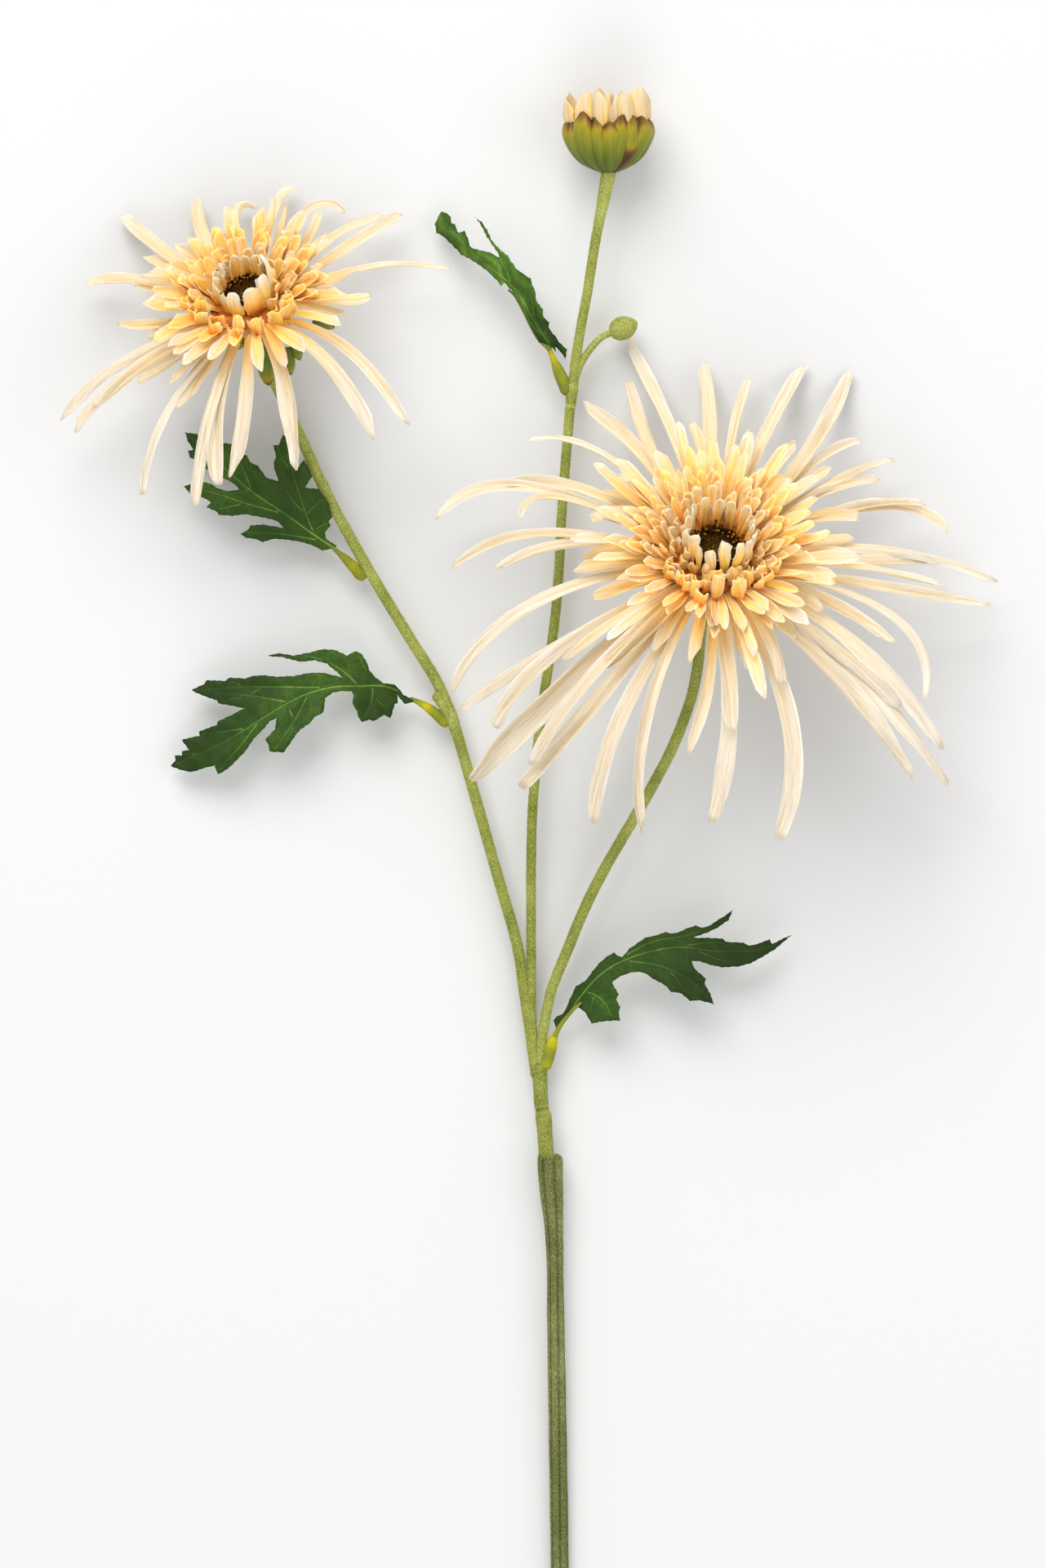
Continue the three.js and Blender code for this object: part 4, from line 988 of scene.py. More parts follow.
stemShape = {
    "centre": 1.42, "left": 1.6, "right": 1.6, "stalk": (1.15, 0.95), "stub": 1.5, "grain": 0.03,
    "steps": 300,
    "sleeve": [(0, 0.7), (0.015, 1.7), (0.05, 2.1), (0.13, 2.18), (0.28, 2.08), (0.395, 2.06), (0.42, 1.96),
               (0.445, 2.14), (0.65, 2.2), (0.84, 2.22), (1, 2.2)],
    # the groove is painted darker as shade and its edges paler as highlights
    "sleeveRing": (0.42, 0.39, 0.45),  # shares of its length: a dark groove and its pale edges
}


def bandAt(place, middle, width):
    # 1 at the middle of a band, falling to 0 beyond its width
    return np.exp(-((place - middle) / width) ** 2)


def downTheView(line):
    return forkV - (line[:, 1] - frontShift[1]) / unit


def lumpy(turn, share):
    return 1 + 0.02 * np.sin(3 * turn + 40 * share) * np.sin(57 * share + 2 * turn)


def sleeveLobes(turn, share):
    # the sleeve's top edge is wavy
    return 0.55 * np.sin(2 * turn + 0.7) * np.clip((0.06 - share) / 0.06, 0, 1)


def buildBranches():
    shape = stemShape
    piece = Piece("branches")
    routes = {name: [front(*point) for point in points] for name, points in stems.items()}
    routes["left"] += calyxEnd(leftBloom)
    routes["right"] += calyxEnd(rightBloom)
    t = np.linspace(0, 1, shape["steps"] + 1)
    look = {"ridge": lumpy, "rough": shape["grain"]}

    centre = smoothRoute(routes["centre"], shape["steps"])
    v = downTheView(centre)
    paleBands = bandAt(v, 472, 2.5) + bandAt(v, 497, 2.5)
    flare = np.clip((280 - v) / 70, 0, 1)
    addTube(piece, centre, shape["centre"] + 0.3 * bandAt(v, 478, 14) + 0.78 * flare, 20,
            tone=0.44 + 0.16 * t + 0.3 * np.clip(paleBands, 0, 1), **look)

    left = smoothRoute(routes["left"], shape["steps"])
    v = downTheView(left)
    knee = bandAt(v, 878, 13)
    addTube(piece, left, shape["left"] + 0.35 * knee + 0.2 * bandAt(v, 597, 5), 20,
            tone=0.46 + 0.16 * t + 0.15 * knee, seed=2, **look)

    right = smoothRoute(routes["right"], shape["steps"])
    addTube(piece, right, shape["right"] - 0.25 * np.clip(1 - 4 * t, 0, 1), 20, tone=0.5 + 0.08 * t, seed=3,
            **look)
    addTube(piece, smoothRoute(routes["stalk"], 60), np.linspace(*shape["stalk"], 61), 14, tone=0.62,
            rough=shape["grain"], seed=4)
    u = np.linspace(0, 1, 31)
    blunt = np.sqrt(np.clip(1 - np.clip((u - 0.86) / 0.14, 0, 1) ** 2, 0.02, 1))
    addTube(piece, smoothRoute(routes["stub"], 30), shape["stub"] * blunt, 16, tone=0.56,
            rough=shape["grain"], seed=5)

    u = np.linspace(0, 1, 241)
    ring, above, below = shape["sleeveRing"]
    edges = bandAt(u, above, 0.015) + bandAt(u, below, 0.015)
    # painted shade in the groove and painted highlights on its edges
    addTube(piece, smoothRoute(routes["sleeve"], 240), profileAt(shape["sleeve"], u), 28,
            tone=0.4 + 0.14 * edges - 0.16 * bandAt(u, ring, 0.012), slide=sleeveLobes,
            rough=shape["grain"], seed=6)
    piece.finish(branchMaterial, ["branches"])


lowerStem = {
    "strands": 6, "strandDepth": 0.24, "twist": 0.45, "grain": 0.035, "steps": 420, "sides": 60,
    # from near the foot of the view up to the socket; past the view's edge the stem is straight
    "route": [(685.5, 1900, 3.5), (683, 1740, 4.8), (680.5, 1600, 6), (680, 1550, 6.3), (678.5, 1504, 6.6),
              (675.8, 1464, 6.9), (674.6, 1445, forkHeight), (673.8, 1418, forkHeight)],
    "radii": [(0, 2.55), (0.75, 2.55), (0.83, 2.5), (0.885, 2.75), (0.94, 3.45), (0.965, 3.6), (0.99, 3.78),
              (0.997, 3.7), (1, 3.45)],
}


def strandWave(turn, share):
    # 0 in the grooves between the lengthwise strands, which twist slowly, and 1 on the strands
    return np.abs(np.sin(lowerStem["strands"] / 2 * turn + lowerStem["twist"] * np.sin(5 * share) + 0.9))


def strandRidges(turn, share):
    depth = lowerStem["strandDepth"] * (1 - strandWave(turn, share) ** 0.6)
    return 1 - depth + 0.01 * np.sin(60 * share + 2 * turn)


def strandEnds(turn, share):
    # the strands end at their own heights round the socket's mouth
    return (0.7 * np.sin(turn * 2 + 0.6) + 0.5 * np.sin(5 * turn)) * np.clip((share - 0.97) / 0.03, 0, 1)


def buildLowerStem():
    shape = lowerStem
    piece = Piece("lowerStem")
    foot = front(687, viewHeight, footHeight) - yAxis * stemBelowView
    route = [foot, foot + yAxis * 16] + [front(*point) for point in shape["route"]]
    t = np.linspace(0, 1, shape["steps"] + 1)
    turn = np.linspace(0, 2 * math.pi, shape["sides"], endpoint=False)[None, :]
    # painted shade darkens the grooves between the strands
    grooveShade = (1 - strandWave(turn, t[:, None])) ** 3
    addTube(piece, smoothRoute(route, shape["steps"]), profileAt(shape["radii"], t), shape["sides"],
            tone=0.46 + 0.06 * np.sin(11 * t)[:, None] - 0.4 * grooveShade, ridge=strandRidges, slide=strandEnds,
            rough=shape["grain"], seed=9)
    points = piece.points[0]
    points[:, 2] = np.maximum(points[:, 2], 0.0)  # nothing goes below the surface that it lies on
    piece.finish(lowerStemMaterial, ["lower_stem"])


buildBranches()
buildLowerStem()
print("stems made")


# the bud, the side bud and the collars

budShape = {
    "foot": (746, 211, budHeight), "axis": (-0.02, 1, 0.1),
    # petals: degrees round the axis with 90 facing up, distance from it, width, height, and
    # the side on which the tip is highest
    "petals": [
        (168, 11.3, 5.4, 23.3, -0.7), (134, 10.8, 6.0, 23.6, 0.8), (105, 11.1, 5.7, 24.3, 0.1),
        (91, 8.8, 5.0, 23.6, 0.4), (79, 9.8, 3.6, 23.2, 0.9), (60, 10.9, 6.0, 23.4, -0.3),
        (28, 11.0, 7.0, 24.6, -0.4), (356, 10.8, 5.6, 23.0, 0.0), (200, 10.9, 5.8, 23.6, 0.2),
        (232, 11.0, 6.0, 23.2, -0.4), (262, 10.8, 5.6, 24.0, 0.5), (292, 11.0, 6.0, 23.0, 0.0),
        (325, 10.9, 5.8, 23.8, -0.5), (120, 7.4, 4.6, 22.6, 0.0), (60, 7.2, 4.8, 22.8, 0.3),
        (5, 7.4, 4.8, 22.2, 0.0), (180, 7.2, 4.8, 22.6, 0.0), (240, 7.4, 4.8, 22.4, 0.0),
        (300, 7.2, 4.8, 22.6, 0.0), (90, 3.6, 4.4, 21.6, 0.0), (210, 3.6, 4.4, 21.4, 0.0),
        (330, 3.6, 4.4, 21.8, 0.0)],
    "cup": [(0.01, 0.1), (2, 0.2), (4.6, 1.5), (7.8, 3.3), (7.2, 3.8), (0.01, 3)],
    "core": [(0.01, 2.5), (7.2, 3.4), (9.8, 6.2), (10.6, 9.4), (9.8, 10.2), (8, 7), (0.01, 5)],
    "petalWidths": [(0, 0.5), (0.5, 0.85), (0.78, 1), (0.92, 0.9), (1, 0.6)],
    "petalTones": [(0, 0.34), (0.5, 0.48), (0.7, 0.58), (1, 0.74)],
    "heart": [(0.01, 1.6), (3, 2.2), (7, 6), (8.2, 10), (6, 15), (0.01, 17)],
    # bracts: degrees, distance from the axis, width, height, highest side, length of the tip's slope
    "bracts": [
        (106, 12.1, 4.8, 16.4, -0.8, 3.4), (73, 12.1, 5.4, 17.0, 0.6, 2.6),
        (55, 11.7, 6.6, 16.6, 0.3, 1.9), (150, 12.0, 6.0, 15.0, 0.0, 1.8), (8, 12.0, 6.2, 15.2, 0.0, 1.8),
        (187, 12.1, 6.2, 15.4, 0.2, 2.0), (225, 12.1, 6.2, 15.6, -0.4, 2.0),
        (263, 12.1, 6.2, 15.2, 0.0, 2.0), (301, 12.1, 6.2, 15.8, 0.4, 2.0),
        (338, 12.1, 6.2, 15.2, -0.2, 2.0), (171, 12.5, 6.2, 16.0, -0.2, 1.8),
        (129, 12.6, 6.7, 18.1, -0.25, 1.9), (87, 12.8, 5.9, 15.0, -0.1, 1.5),
        (30, 12.7, 6.6, 16.4, -0.6, 2.4), (206, 12.6, 6.4, 16.4, 0.3, 2.0),
        (244, 12.6, 6.4, 16.8, -0.3, 2.0), (282, 12.6, 6.4, 16.0, 0.2, 2.0),
        (320, 12.6, 6.4, 16.6, 0.0, 2.0), (354, 12.6, 6.2, 15.6, -0.3, 2.0)],
    "innerBracts": 10,
    "bractWidths": [(0, 0.32), (0.3, 0.62), (0.6, 0.92), (0.82, 1), (0.94, 0.86), (1, 0.62)],
    "bractTones": [(0, 0.22), (0.35, 0.3), (0.6, 0.48), (0.76, 0.64), (0.86, 0.78), (0.93, 1), (1, 1)],
    # painted shade: the lower half of this bract, seen in a gap, is dark brown
    "gapShadeBract": 2,          # its lower half shows in a gap, dark brown
    "gapShadeTones": [(0, 1), (0.48, 1), (0.58, 0.7), (0.72, 0.6), (0.86, 0.8), (1, 1)],
}


def budOut(degrees, axis):
    east = unitVector(np.cross(axis, zAxis))
    turn = math.radians(degrees)
    return math.cos(turn) * east + math.sin(turn) * np.cross(east, axis)


def budLine(foot, axis, out, path, steps):
    return smoothRoute([foot + out * r + axis * h for r, h in path], steps)


def buildBud():
    shape = budShape
    axis = unitVector(shape["axis"])
    foot = front(*shape["foot"])
    rng = np.random.default_rng(21)
    petalPiece = Piece("budPetals")
    t = np.linspace(0, 1, 15)
    for degrees, reach, width, top, lean in shape["petals"]:
        out = budOut(degrees, axis)
        flare = rng.uniform(-0.9, 0.3)
        path = [(reach * 0.4, 6), (reach * 0.88, 10.5), (reach, 15), (reach, 19), (reach + flare, top)]
        line = budLine(foot, axis, out, path, 14)
        tones = profileAt(shape["petalTones"], t) + 0.05 * rng.normal()
        # shade=1 lays painted shade over the whole petal, heavier on its underside
        addBlade(petalPiece, line, -out, width * profileAt(shape["petalWidths"], t), tones,
                 0.55 * rng.uniform(), cup=rng.uniform(0.5, 1.0), roll=0.3 * rng.normal() * t, ribs=0.03,
                 across=10, tip=("oval", 5.6, lean), crease=(rng.uniform(0.1, 0.5), rng.uniform(-0.5, 0.5)),
                 ruffle=0.1, rim=-0.4, shade=1.0)
    addTurned(petalPiece, shape["heart"], foot, axis, tone=0.5)
    petalPiece.finish(petalMaterial, ["bud_petals"])

    bractPiece = Piece("budBracts")
    addTurned(bractPiece, shape["cup"], foot, axis, tone=0.3)
    # the core is painted dark brown, the shade seen in the gaps between the bracts
    addTurned(bractPiece, shape["core"], foot, axis, tone=1.0)
    t = np.linspace(0, 1, 19)
    # brown edges in the upper half, where the tips were airbrushed; lower down the edges are darker and the
    # middle paler, a painted highlight
    rim = 0.5 * np.clip((t - 0.5) / 0.5, 0, 1) - 0.3 * np.clip((0.5 - t) / 0.5, 0, 1)
    for number, (degrees, reach, width, top, lean, slope) in enumerate(shape["bracts"]):
        outer = number >= shape["innerBracts"]
        out = budOut(degrees, axis)
        path = [(2.3, 0.4), (5.1, 1.6), (8.3, 3.6), (10.8, 6.8), (reach, 11.0), (reach - 0.1, 0.87 * top),
                (reach - (1.2 if outer else 0.5), top)]
        line = budLine(foot, axis, out, path, 18)
        # the inner bracts, seen in the gaps between the outer ones, are painted darker towards the root as
        # shade
        tones = profileAt(shape["bractTones"], t) + 0.03 * rng.normal() - (0 if outer else 0.16 * (1 - t))
        if number == shape["gapShadeBract"]:
            tones = profileAt(shape["gapShadeTones"], t)
        addBlade(bractPiece, line, -out, width * profileAt(shape["bractWidths"], t), tones, rng.uniform(),
                 thickness=0.6, cup=0.5, ribs=0.03, across=12, tip=("arch", 1.5 * slope, lean),
                 hood=0.25 if outer else 0.1, ruffle=0.08, rim=rim)
    bractPiece.finish(bractMaterial, ["bud_bracts"])


sideBud = {
    "foot": (747.5, 407, 9), "axis": (0.93, 0.36, 0),
    "body": [(0.01, 0), (1.3, 0.1), (2.4, 0.9), (3.2, 2.2), (3.5, 3.6), (3.3, 5.1), (2.6, 6.5), (1.6, 7.6),
             (0.8, 8.2), (0.01, 8.5)],
}


def bractSeams(turn, height):
    # five bracts closed over each other
    groove = np.abs(np.sin(2.5 * turn + 0.35 * height))
    return 1 - 0.05 * (1 - groove ** 0.5) * np.clip(height / 4, 0, 1) + 0.012 * np.sin(9 * turn + 7 * height)


def buildSideBud():
    piece = Piece("sideBud")
    fine = smoothRoute([(r, h, 0) for r, h in sideBud["body"]], 40)[:, :2]
    addTurned(piece, np.maximum(fine, [[0.01, 0]]), front(*sideBud["foot"]), unitVector(sideBud["axis"]),
              sides=60, tone=0.62, ridge=bractSeams)
    piece.finish(branchMaterial, ["side_bud"])


collars = {
    # a route from the leaf to the stem, radii and tones along it, and for two of them a petiole:
    # its route, the radius at both ends and the tone
    "collar_left_low": {
        "route": [(503, 855, 7.2), (515, 861, 7.4), (528, 869, 7.4), (540, 880, 7.3), (548, 889, 7)],
        "radii": [(0, 0.5), (0.25, 0.95), (0.5, 1.4), (0.8, 1.5), (0.94, 1.25), (1, 0.6)],
        "tones": [(0, 0.2), (0.15, 0.45), (0.34, 0.88), (0.5, 0.7), (0.75, 0.42), (0.9, 0.6), (1, 0.6)],
    },
    "collar_left_high": {
        "route": [(406, 669, 8.3), (414, 676, 8.2), (424, 685, 8.0), (433, 694, 7.8), (446, 709, 7.3)],
        "radii": [(0, 0.55), (0.2, 0.75), (0.45, 1.35), (0.7, 1.6), (0.9, 1.6), (1, 0.8)],
        "tones": [(0, 0.35), (0.3, 0.42), (0.6, 0.58), (0.85, 0.5), (1, 0.7)],
    },
    "collar_top": {
        "route": [(672, 424, 9.9), (677, 437, 9.8), (684, 453, 9.6), (691, 470, 9.2), (694, 483, 8.7)],
        "radii": [(0, 0.7), (0.22, 0.8), (0.5, 1.65), (0.8, 1.75), (0.95, 1.3), (1, 0.7)],
        "tones": [(0, 0.35), (0.2, 0.8), (0.35, 0.6), (0.75, 0.42), (1, 0.4)],
        "petiole": ([(673, 427, 10.2), (661, 416, 10.6), (651, 400, 10.8), (641, 380, 10.6),
                     (630, 361, 10.2), (623, 354, 9.6)],
                    0.6, 0.3, 0.3),
    },
    "collar_right": {
        "route": [(681, 1267, 7.6), (677.5, 1274, 7.6), (673.3, 1287, 7.6), (669.6, 1300, 7.6),
                  (666.5, 1311, 7.4)],
        "radii": [(0, 0.5), (0.08, 1.0), (0.3, 1.7), (0.55, 1.9), (0.8, 1.8), (0.94, 1.5), (1, 0.7)],
        "tones": [(0, 0.5), (0.15, 0.84), (0.4, 0.7), (0.64, 0.5), (0.76, 0.62), (0.9, 0.6), (1, 0.5)],
        "petiole": ([(680, 1269, 8.0), (686, 1257, 8.8), (694, 1246, 9.8), (703, 1236, 10.8),
                     (712, 1228, 11.4)],
                    0.75, 0.4, 0.42),
    },
}


def buildCollars():
    t = np.linspace(0, 1, 61)
    for number, (node, shape) in enumerate(collars.items()):
        piece = Piece(node.replace("_", "-"))
        line = smoothRoute([front(*point) for point in shape["route"]], 60)
        addTube(piece, line, profileAt(shape["radii"], t), 24, tone=profileAt(shape["tones"], t),
                ridge=lumpy, rough=0.02, seed=20 + number)
        if "petiole" in shape:
            route, foot, end, tone = shape["petiole"]
            line = smoothRoute([front(*point) for point in route], 40)
            addTube(piece, line, np.linspace(foot, end, 41), 12, tone=tone)
        piece.finish(collarMaterial, [node])


buildBud()
buildSideBud()
buildCollars()
print("bud, side bud and collars made")


# leaves: outlines go round in the front view from the base, veins run out from it

leaves = {
    "leaf_left_low": {
        "tip": (208, 938), "heights": (7.2, 8, 5), "tone": 0.01,
        "outline": [
            (508, 858), (494, 851), (488, 843), (483, 838), (470, 837), (460, 830), (452, 821), (450, 813),
            (442, 800), (435, 797), (425, 803), (410, 796), (395, 795), (380, 799), (360, 803), (340, 800),
            (328, 803), (345, 804), (368, 810), (385, 808), (400, 812), (412, 822), (420, 830), (408, 827),
            (395, 824), (380, 824), (360, 828), (340, 829), (322, 827), (308, 828), (300, 831), (280, 830),
            (275, 834), (252, 833), (249, 838), (234, 845), (250, 852), (265, 857), (267, 861), (285, 864),
            (300, 867), (285, 875), (266, 884), (265, 888), (243, 896), (244, 901), (222, 906), (231, 918),
            (222, 920), (222, 925), (213, 925), (214, 931), (208, 938), (222, 943), (234, 945), (250, 940),
            (262, 937), (267, 948), (280, 940), (300, 920), (310, 905), (320, 895), (330, 883), (339, 879),
            (337, 893), (325, 906), (329, 912), (330, 920), (348, 921), (351, 916), (362, 900), (368, 893),
            (380, 885), (385, 878), (396, 872), (398, 855), (407, 848), (417, 846), (430, 846), (433, 851),
            (432, 862), (437, 870), (439, 878), (443, 884), (452, 881), (457, 883), (470, 875), (478, 879),
            (483, 862), (487, 861), (486, 850), (496, 862)],
        "veins": [
            [(506, 857), (487, 846), (470, 840), (440, 840), (410, 841), (375, 850), (340, 868),
             (280, 905), (216, 935)],
            [(400, 842), (340, 841), (290, 841), (240, 845)],
            [(440, 840), (415, 818), (380, 804), (335, 803)], [(470, 840), (452, 824), (438, 803)],
            [(355, 860), (315, 853), (272, 848)], [(378, 849), (362, 880), (338, 915)],
            [(456, 840), (455, 858), (445, 880)], [(456, 852), (474, 868)],
            [(300, 892), (270, 896), (248, 899)], [(318, 882), (295, 912), (268, 942)],
            [(320, 842), (300, 852), (275, 857)], [(300, 841), (285, 835), (270, 836)],
            [(355, 870), (360, 885), (352, 905)], [(262, 912), (240, 922), (224, 923)]],
    },
    "leaf_left_high": {
        "tip": (225, 528), "heights": (8, 9, 4), "tone": 0.07,
        "outline": [
            (410, 671), (395, 674), (385, 669), (370, 664), (350, 661), (335, 660), (322, 664), (312, 660),
            (302, 659), (294, 654), (305, 647), (307, 643), (322, 642), (335, 644), (347, 646), (339, 638),
            (322, 634), (300, 630), (285, 632), (268, 631), (266, 627), (252, 621), (258, 615), (250, 610),
            (233, 605), (224, 595), (235, 591), (243, 587), (258, 592), (268, 598), (280, 601), (293, 599),
            (287, 593), (276, 587), (261, 579), (246, 571), (240, 563), (232, 560), (229, 551), (236, 550),
            (229, 540), (225, 528), (240, 530), (250, 541), (266, 541), (285, 543), (295, 557), (302, 557),
            (308, 567), (316, 570), (327, 585), (341, 589), (336, 575), (335, 566), (338, 560), (334, 545),
            (341, 545), (346, 532), (353, 536), (358, 555), (361, 566), (364, 574), (372, 562), (377, 570),
            (383, 583), (374, 597), (390, 598), (398, 609), (403, 616), (407, 633), (402, 638), (405, 643),
            (398, 652), (399, 659), (412, 667)],
        "veins": [
            [(408, 670), (385, 655), (350, 630), (310, 603), (285, 582), (232, 534)],
            [(385, 655), (375, 630), (365, 600), (347, 540)], [(395, 662), (345, 654), (300, 652)],
            [(350, 630), (300, 616), (270, 606), (232, 595)], [(300, 616), (275, 622), (260, 624)],
            [(375, 630), (392, 612)], [(310, 603), (300, 580), (285, 550)],
            [(375, 630), (360, 615), (350, 600)], [(356, 575), (345, 562)], [(270, 570), (258, 552)],
            [(382, 650), (400, 640)]],
    },
    "leaf_top": {
        "tip": (536, 262), "heights": (9.5, 5, 5), "tipTone": 0.34, "toothDepth": 0.34, "crumple": 0.7,
        "vein": 0.6,
        "outline": [
            (682, 432), (675, 424), (666, 420), (660, 418), (655, 409), (650, 400), (640, 380), (630, 360),
            (617, 346), (614, 351), (606, 341), (600, 335), (580, 320), (565, 312), (550, 296), (545, 290),
            (534, 284), (532, 273), (536, 264), (540, 257), (547, 259), (552, 264), (553, 272), (557, 273),
            (562, 284), (569, 281), (573, 290), (577, 302), (590, 306), (600, 308), (612, 314), (603, 300),
            (596, 290), (590, 277), (581, 264), (590, 270), (597, 280), (603, 294), (610, 302), (622, 312),
            (634, 330), (640, 334), (650, 340), (654, 352), (656, 358), (657, 367), (665, 378), (666, 388),
            (673, 394), (672, 400), (680, 410), (687, 420), (695, 427), (693, 441), (688, 432), (680, 424)],
        "veins": [
            [(676, 425), (664, 408), (650, 385), (632, 355), (605, 330), (575, 305), (540, 266)],
            [(628, 350), (612, 315), (587, 272)], [(655, 392), (650, 362), (640, 342)],
            [(590, 318), (585, 308)], [(668, 412), (668, 395)]],
    },
    "leaf_right": {
        "tip": (973, 1144), "heights": (7, 9, 6), "tone": -0.05,
        "outline": [
            (682, 1268), (680, 1256), (678, 1250), (682, 1245), (689, 1242), (693, 1236), (697, 1225),
            (702, 1215), (705, 1208), (718, 1200), (725, 1190), (733, 1180), (742, 1172), (752, 1166),
            (756, 1170), (762, 1172), (770, 1162), (780, 1155), (790, 1148), (800, 1146), (815, 1141),
            (822, 1143), (830, 1142), (840, 1137), (852, 1133), (860, 1136), (868, 1134), (880, 1126),
            (890, 1120), (899, 1113), (893, 1127), (880, 1136), (868, 1142), (850, 1148), (866, 1148),
            (885, 1149), (889, 1153), (910, 1154), (918, 1158), (930, 1155), (943, 1150), (946, 1156),
            (960, 1149), (973, 1144), (950, 1163), (935, 1172), (920, 1180), (905, 1184), (885, 1185),
            (870, 1182), (855, 1177), (847, 1177), (851, 1186), (865, 1198), (863, 1204), (870, 1216),
            (875, 1230), (855, 1225), (845, 1226), (833, 1216), (822, 1215), (815, 1207), (800, 1199),
            (790, 1192), (783, 1190), (770, 1192), (758, 1197), (750, 1203), (758, 1217), (755, 1224),
            (760, 1233), (758, 1240), (760, 1250), (740, 1251), (725, 1254), (720, 1246), (717, 1240),
            (708, 1234), (700, 1241), (689, 1255)],
        "veins": [
            [(688, 1256), (710, 1222), (740, 1190), (780, 1170), (830, 1160), (880, 1165), (930, 1163),
             (962, 1153)],
            [(740, 1190), (770, 1168), (800, 1153), (850, 1143), (892, 1120)],
            [(765, 1176), (810, 1183), (845, 1200), (868, 1222)], [(718, 1214), (735, 1222), (750, 1243)],
            [(830, 1160), (870, 1154), (900, 1158)], [(815, 1184), (830, 1200), (838, 1212)],
            [(728, 1218), (724, 1235)], [(850, 1162), (880, 1175), (905, 1178)]],
    },
}
leafMesh = {
    "spacing": 1.1, "jitter": 0.25, "rimSpacing": 0.55, "veinSpacing": 0.8, "thickness": 0.45, "fold": 0.14,
    "midribWidth": 0.42, "veinWidth": 0.32, "veinDepth": 0.4, "toothPitch": 2.1, "toothDepth": 0.22,
    # how near points may come: a vein's to the rim and to older veins, the others to either
    "rimGap": 0.6, "veinGap": 0.45, "innerGap": 0.5,
}


def insidePolygon(points, outline):
    inside = np.zeros(len(points), bool)
    for a, b in zip(outline, np.roll(outline, -1, axis=0)):
        crosses = (a[1] > points[:, 1]) != (b[1] > points[:, 1])
        at = a[0] + (points[:, 1] - a[1]) / (b[1] - a[1] + 1e-12) * (b[0] - a[0])
        inside ^= crosses & (points[:, 0] < at)
    return inside


def lineDistance(points, line):
    best = np.full(len(points), 1e9)
    for a, b in zip(line[:-1], line[1:]):
        ab = b - a
        s = np.clip(((points - a) @ ab) / (ab @ ab + 1e-12), 0, 1)
        best = np.minimum(best, np.linalg.norm(points - a - s[:, None] * ab, axis=1))
    return best


def leafRim(leaf):
    # The outline's corners stay sharp. Fine teeth run along it between them.
    shape = leafMesh
    outline = np.array([front(*point)[:2] for point in leaf["outline"]])
    rim = []
    for a, b in zip(outline, np.roll(outline, -1, axis=0)):
        length = np.linalg.norm(b - a)
        steps = max(1, int(round(length / shape["rimSpacing"])))
        t = np.linspace(0, 1, steps, endpoint=False)[:, None]
        out = np.array([(b - a)[1], -(b - a)[0]]) / length
        teeth = max(1, round(length / shape["toothPitch"]))
        saw = (t * teeth) % 1.0
        depth = leaf.get("toothDepth", shape["toothDepth"])
        rim.append(lerp(a, b, t) + out * depth * saw * np.clip((length - 1.2) / 2, 0, 1))
    rim = np.vstack(rim)
    area = 0.5 * np.sum(rim[:, 0] * np.roll(rim[:, 1], -1) - np.roll(rim[:, 0], -1) * rim[:, 1])
    return rim if area > 0 else rim[::-1]


def nearestDistance(points, others):
    return np.min(np.linalg.norm(points[:, None] - others[None], axis=2), axis=1)


def leafVeins(leaf, rim):
    # The rim's points, then those on the veins and on both sides of them, with their marks, the
    # edges along the veins, and the veins' lines.
    shape = leafMesh
    closedRim = np.vstack([rim, rim[:1]])
    points, marks, edges, lines = [rim], [np.zeros(len(rim))], [], []
    for number, vein in enumerate(leaf["veins"]):
        width = shape["midribWidth"] if number == 0 else shape["veinWidth"]
        path = np.array([np.r_[front(*point)[:2], 0] for point in vein])
        line = smoothRoute(path, max(4, int(distanceGone(path)[-1] / shape["veinSpacing"])))[:, :2]
        lines.append(line)
        ahead = unitVector(np.gradient(line, axis=0))
        taper = np.linspace(1, 0.45, len(line))
        clear = (lineDistance(line, closedRim) > shape["rimGap"]) & insidePolygon(line, rim)
        if number > 0:
            clear &= nearestDistance(line, np.vstack(points[1:])) > shape["veinGap"]
        keep = np.flatnonzero(clear)
        strength = (0.85 if number == 0 else 0.75) * taper * leaf.get("vein", 1.0)
        beside = width * (taper[:, None] * np.stack([ahead[:, 1], -ahead[:, 0]], 1))[keep]
        first = sum(map(len, points))
        edges += [(first + k, first + k + 1) for k in range(len(keep) - 1) if keep[k + 1] - keep[k] == 1]
        points += [line[keep], line[keep] + beside, line[keep] - beside]
        marks += [strength[keep], np.zeros(len(keep)), np.zeros(len(keep))]
    return points, marks, edges, lines


def leafInner(rim, onVeins, seed):
    # a loose grid of points inside the rim, clear of the veins
    shape = leafMesh
    low, high = rim.min(0), rim.max(0)
    xs, ys = np.meshgrid(*[np.arange(low[k], high[k], shape["spacing"]) for k in (0, 1)])
    jitter = np.random.default_rng(seed).uniform(-shape["jitter"], shape["jitter"], (xs.size, 2))
    inner = np.stack([xs.ravel(), ys.ravel()], 1) + jitter
    inner = inner[insidePolygon(inner, rim)]
    inner = inner[lineDistance(inner, np.vstack([rim, rim[:1]])) > shape["innerGap"]]
    return inner[nearestDistance(inner, onVeins) > shape["innerGap"]]


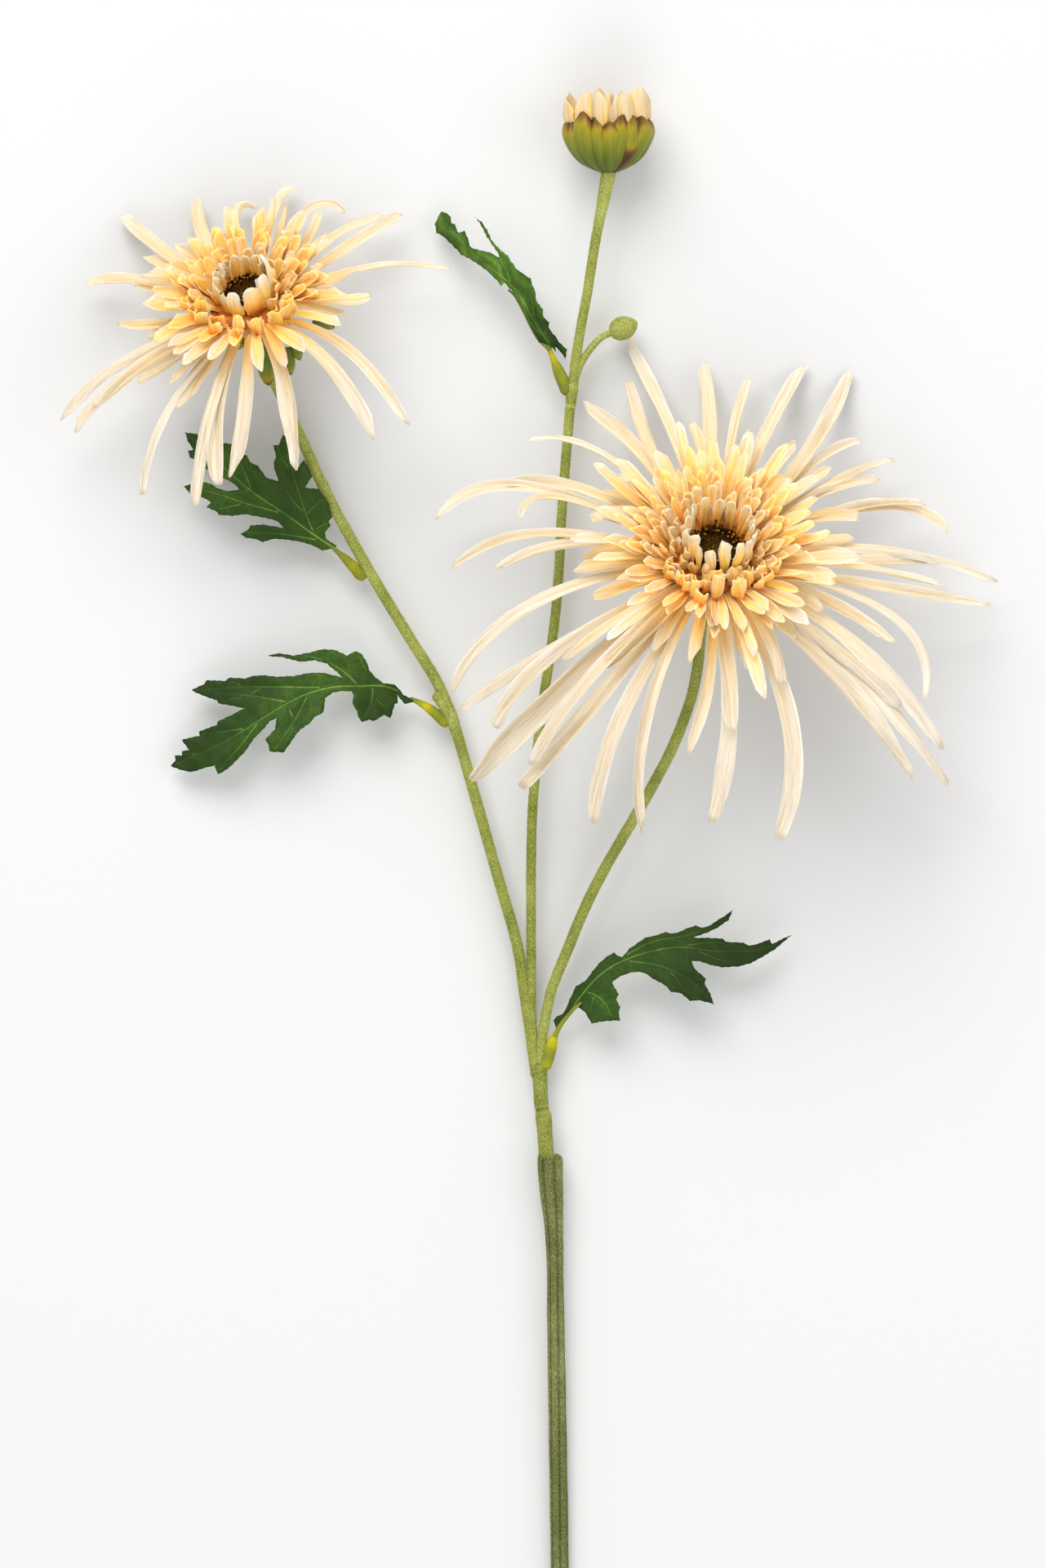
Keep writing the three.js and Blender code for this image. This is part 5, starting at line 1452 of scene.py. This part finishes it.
def leafRelief(leaf, flat, lines, seed):
    # each point's height, its share of the way to the tip, and how it is crumpled
    shape = leafMesh
    base, tip = front(*leaf["outline"][0])[:2], front(*leaf["tip"])[:2]
    length = np.linalg.norm(tip - base)
    midrib = (tip - base) / length
    along = np.clip((flat - base) @ midrib / length, 0, 1)
    off = np.abs((flat - base) @ np.array([midrib[1], -midrib[0]]))
    h0, h1, h2 = leaf["heights"]
    rise = (1 - along) ** 2 * h0 + 2 * along * (1 - along) * (h0 + 2 * h1) + along**2 * h2
    height = rise - np.minimum(shape["fold"] * off, 0.5 * h1)
    nearest = np.min([lineDistance(flat, line) for line in lines], axis=0)
    height = height - shape["veinDepth"] * np.exp(-(nearest / 0.9) ** 2)
    height = height + 0.7 * (1 - np.exp(-(nearest / 3.5) ** 2))
    height = height + 0.35 * np.sin(flat @ (0.42, 0.31) + seed) * np.sin(flat @ (-0.27, 0.45))
    crumple = leaf.get("crumple", 0.12) * np.sin(flat @ (1.1, 0.75) + 1.5 * np.sin(flat @ (-0.3, 0.4)))
    return height + crumple, along, crumple


def sheetFaces(triangles, size):
    # both sides of a thin sheet, and the strip round its border
    faces, border = [], {}
    for a, b, c in triangles:
        faces += [(a, b, c), (c + size, b + size, a + size)]
        for p, q in ((a, b), (b, c), (c, a)):
            border[(p, q)] = (q, p) not in border
            if not border[(p, q)]:
                border[(q, p)] = False
    return faces + [(q, p, p + size, q + size) for (p, q), alone in border.items() if alone]


def buildLeaf(node, leaf, seed):
    rim = leafRim(leaf)
    points, marks, edges, lines = leafVeins(leaf, rim)
    inner = leafInner(rim, np.vstack(points[1:]), seed)
    flat, veins = np.vstack(points + [inner]), np.concatenate(marks + [np.zeros(len(inner))])
    made = delaunay_2d_cdt([Vector(p) for p in flat], edges, [list(range(len(rim)))], 1, 1e-6)
    flat, veins = np.array([tuple(p) for p in made[0]]), veins[[old[0] if old else 0 for old in made[3]]]
    height, along, crumple = leafRelief(leaf, flat, lines, seed)
    size = len(flat)
    tone = 0.36 + 0.1 * np.sin(flat @ (0.11, -0.07) + seed) + lerp(0.1, leaf.get("tipTone", 0), along)
    # painted light and shade follow the crumples: lighter where they rise, darker where they sink
    tone = tone + leaf.get("tone", 0) + 0.1 * crumple
    top = np.c_[tone, veins, np.zeros(size)]
    under = np.c_[tone, 0.6 * veins, np.full(size, 0.75)]
    piece = Piece(node.replace("_", "-"))
    piece.add(np.vstack([np.c_[flat, height + leafMesh["thickness"]], np.c_[flat, height]]),
              sheetFaces([tuple(face) for face in made[2]], size), np.vstack([top, under]),
              np.vstack([flat, flat]))
    piece.finish(leafMaterial, [node])


for seed, (node, leaf) in enumerate(leaves.items(), 1):
    buildLeaf(node, leaf, seed)
print("leaves made")


# floor, light and camera

floor = {"size": 6.0, "colour": "#dedddb", "grainsPerMetre": 900.0}


def buildFloor():
    mesh = bpy.data.meshes.new("floor")
    h = floor["size"] / 2
    mesh.from_pydata([(-h, -h, 0), (h, -h, 0), (h, h, 0), (-h, h, 0)], [], [(0, 1, 2, 3)])
    material, tree = newMaterial("matPaper")  # seamless photo paper: flat, matt and pale
    place = addNode(tree, "NewGeometry")
    grain = addNode(tree, "TexNoise", {"Vector": place, "Scale": floor["grainsPerMetre"], "Detail": 2.0})
    finishMaterial(tree, {
        "Base Color": toLinear(floor["colour"]), "Roughness": 0.9, "Specular IOR Level": 0.1},
        grain, 0.1, 0.05)
    mesh.materials.append(material)
    obj = bpy.data.objects.new("floor", mesh)
    bpy.context.scene.collection.objects.link(obj)


studio = {
    # name: place, size in metres, power in watts
    "keyBox": ((-0.5, 1.6, 1.7), 1.6, 41.0),
    "fillBox": ((1.4, 0.1, 1.6), 1.6, 9.0),
    "footBox": ((0.0, -1.5, 1.6), 1.6, 12.0),
    "skyStrength": 0.65,
    "sky": "#f4f6fa",
}


def buildLights():
    for name in ("keyBox", "fillBox", "footBox"):
        place, size, power = studio[name]
        light = bpy.data.lights.new(name, "AREA")
        light.shape = "SQUARE"
        light.size = size
        light.energy = power
        obj = bpy.data.objects.new(name, light)
        obj.location = place
        obj.rotation_euler = (-Vector(place)).to_track_quat("-Z", "Y").to_euler()
        bpy.context.scene.collection.objects.link(obj)
    world = bpy.data.worlds.new("studioAir")
    bpy.context.scene.world = world
    world.use_nodes = True
    background = world.node_tree.nodes["Background"]
    background.inputs["Color"].default_value = toLinear(studio["sky"])
    background.inputs["Strength"].default_value = studio["skyStrength"]


view = {"lens": 300.0, "sensor": 36.0, "aimHeight": 0.015}


def buildCamera():
    # straight above the middle of the front view, far off, with a long lens
    data = bpy.data.cameras.new("viewFromAbove")
    data.sensor_fit = "AUTO"
    data.sensor_width = view["sensor"]
    data.lens = view["lens"]
    camera = bpy.data.objects.new("viewFromAbove", data)
    shown = viewHeight * unit * mm  # what the frame's height covers at the aim height
    distance = shown * view["lens"] / view["sensor"]
    middle = front(viewWidth / 2, viewHeight / 2) * mm
    camera.location = (middle[0], middle[1], view["aimHeight"] + distance)
    data.clip_end = 20
    bpy.context.scene.collection.objects.link(camera)
    bpy.context.scene.camera = camera


buildFloor()
buildLights()
buildCamera()
bpy.context.scene.view_settings.view_transform = "Standard"
print("floor, light and camera made")
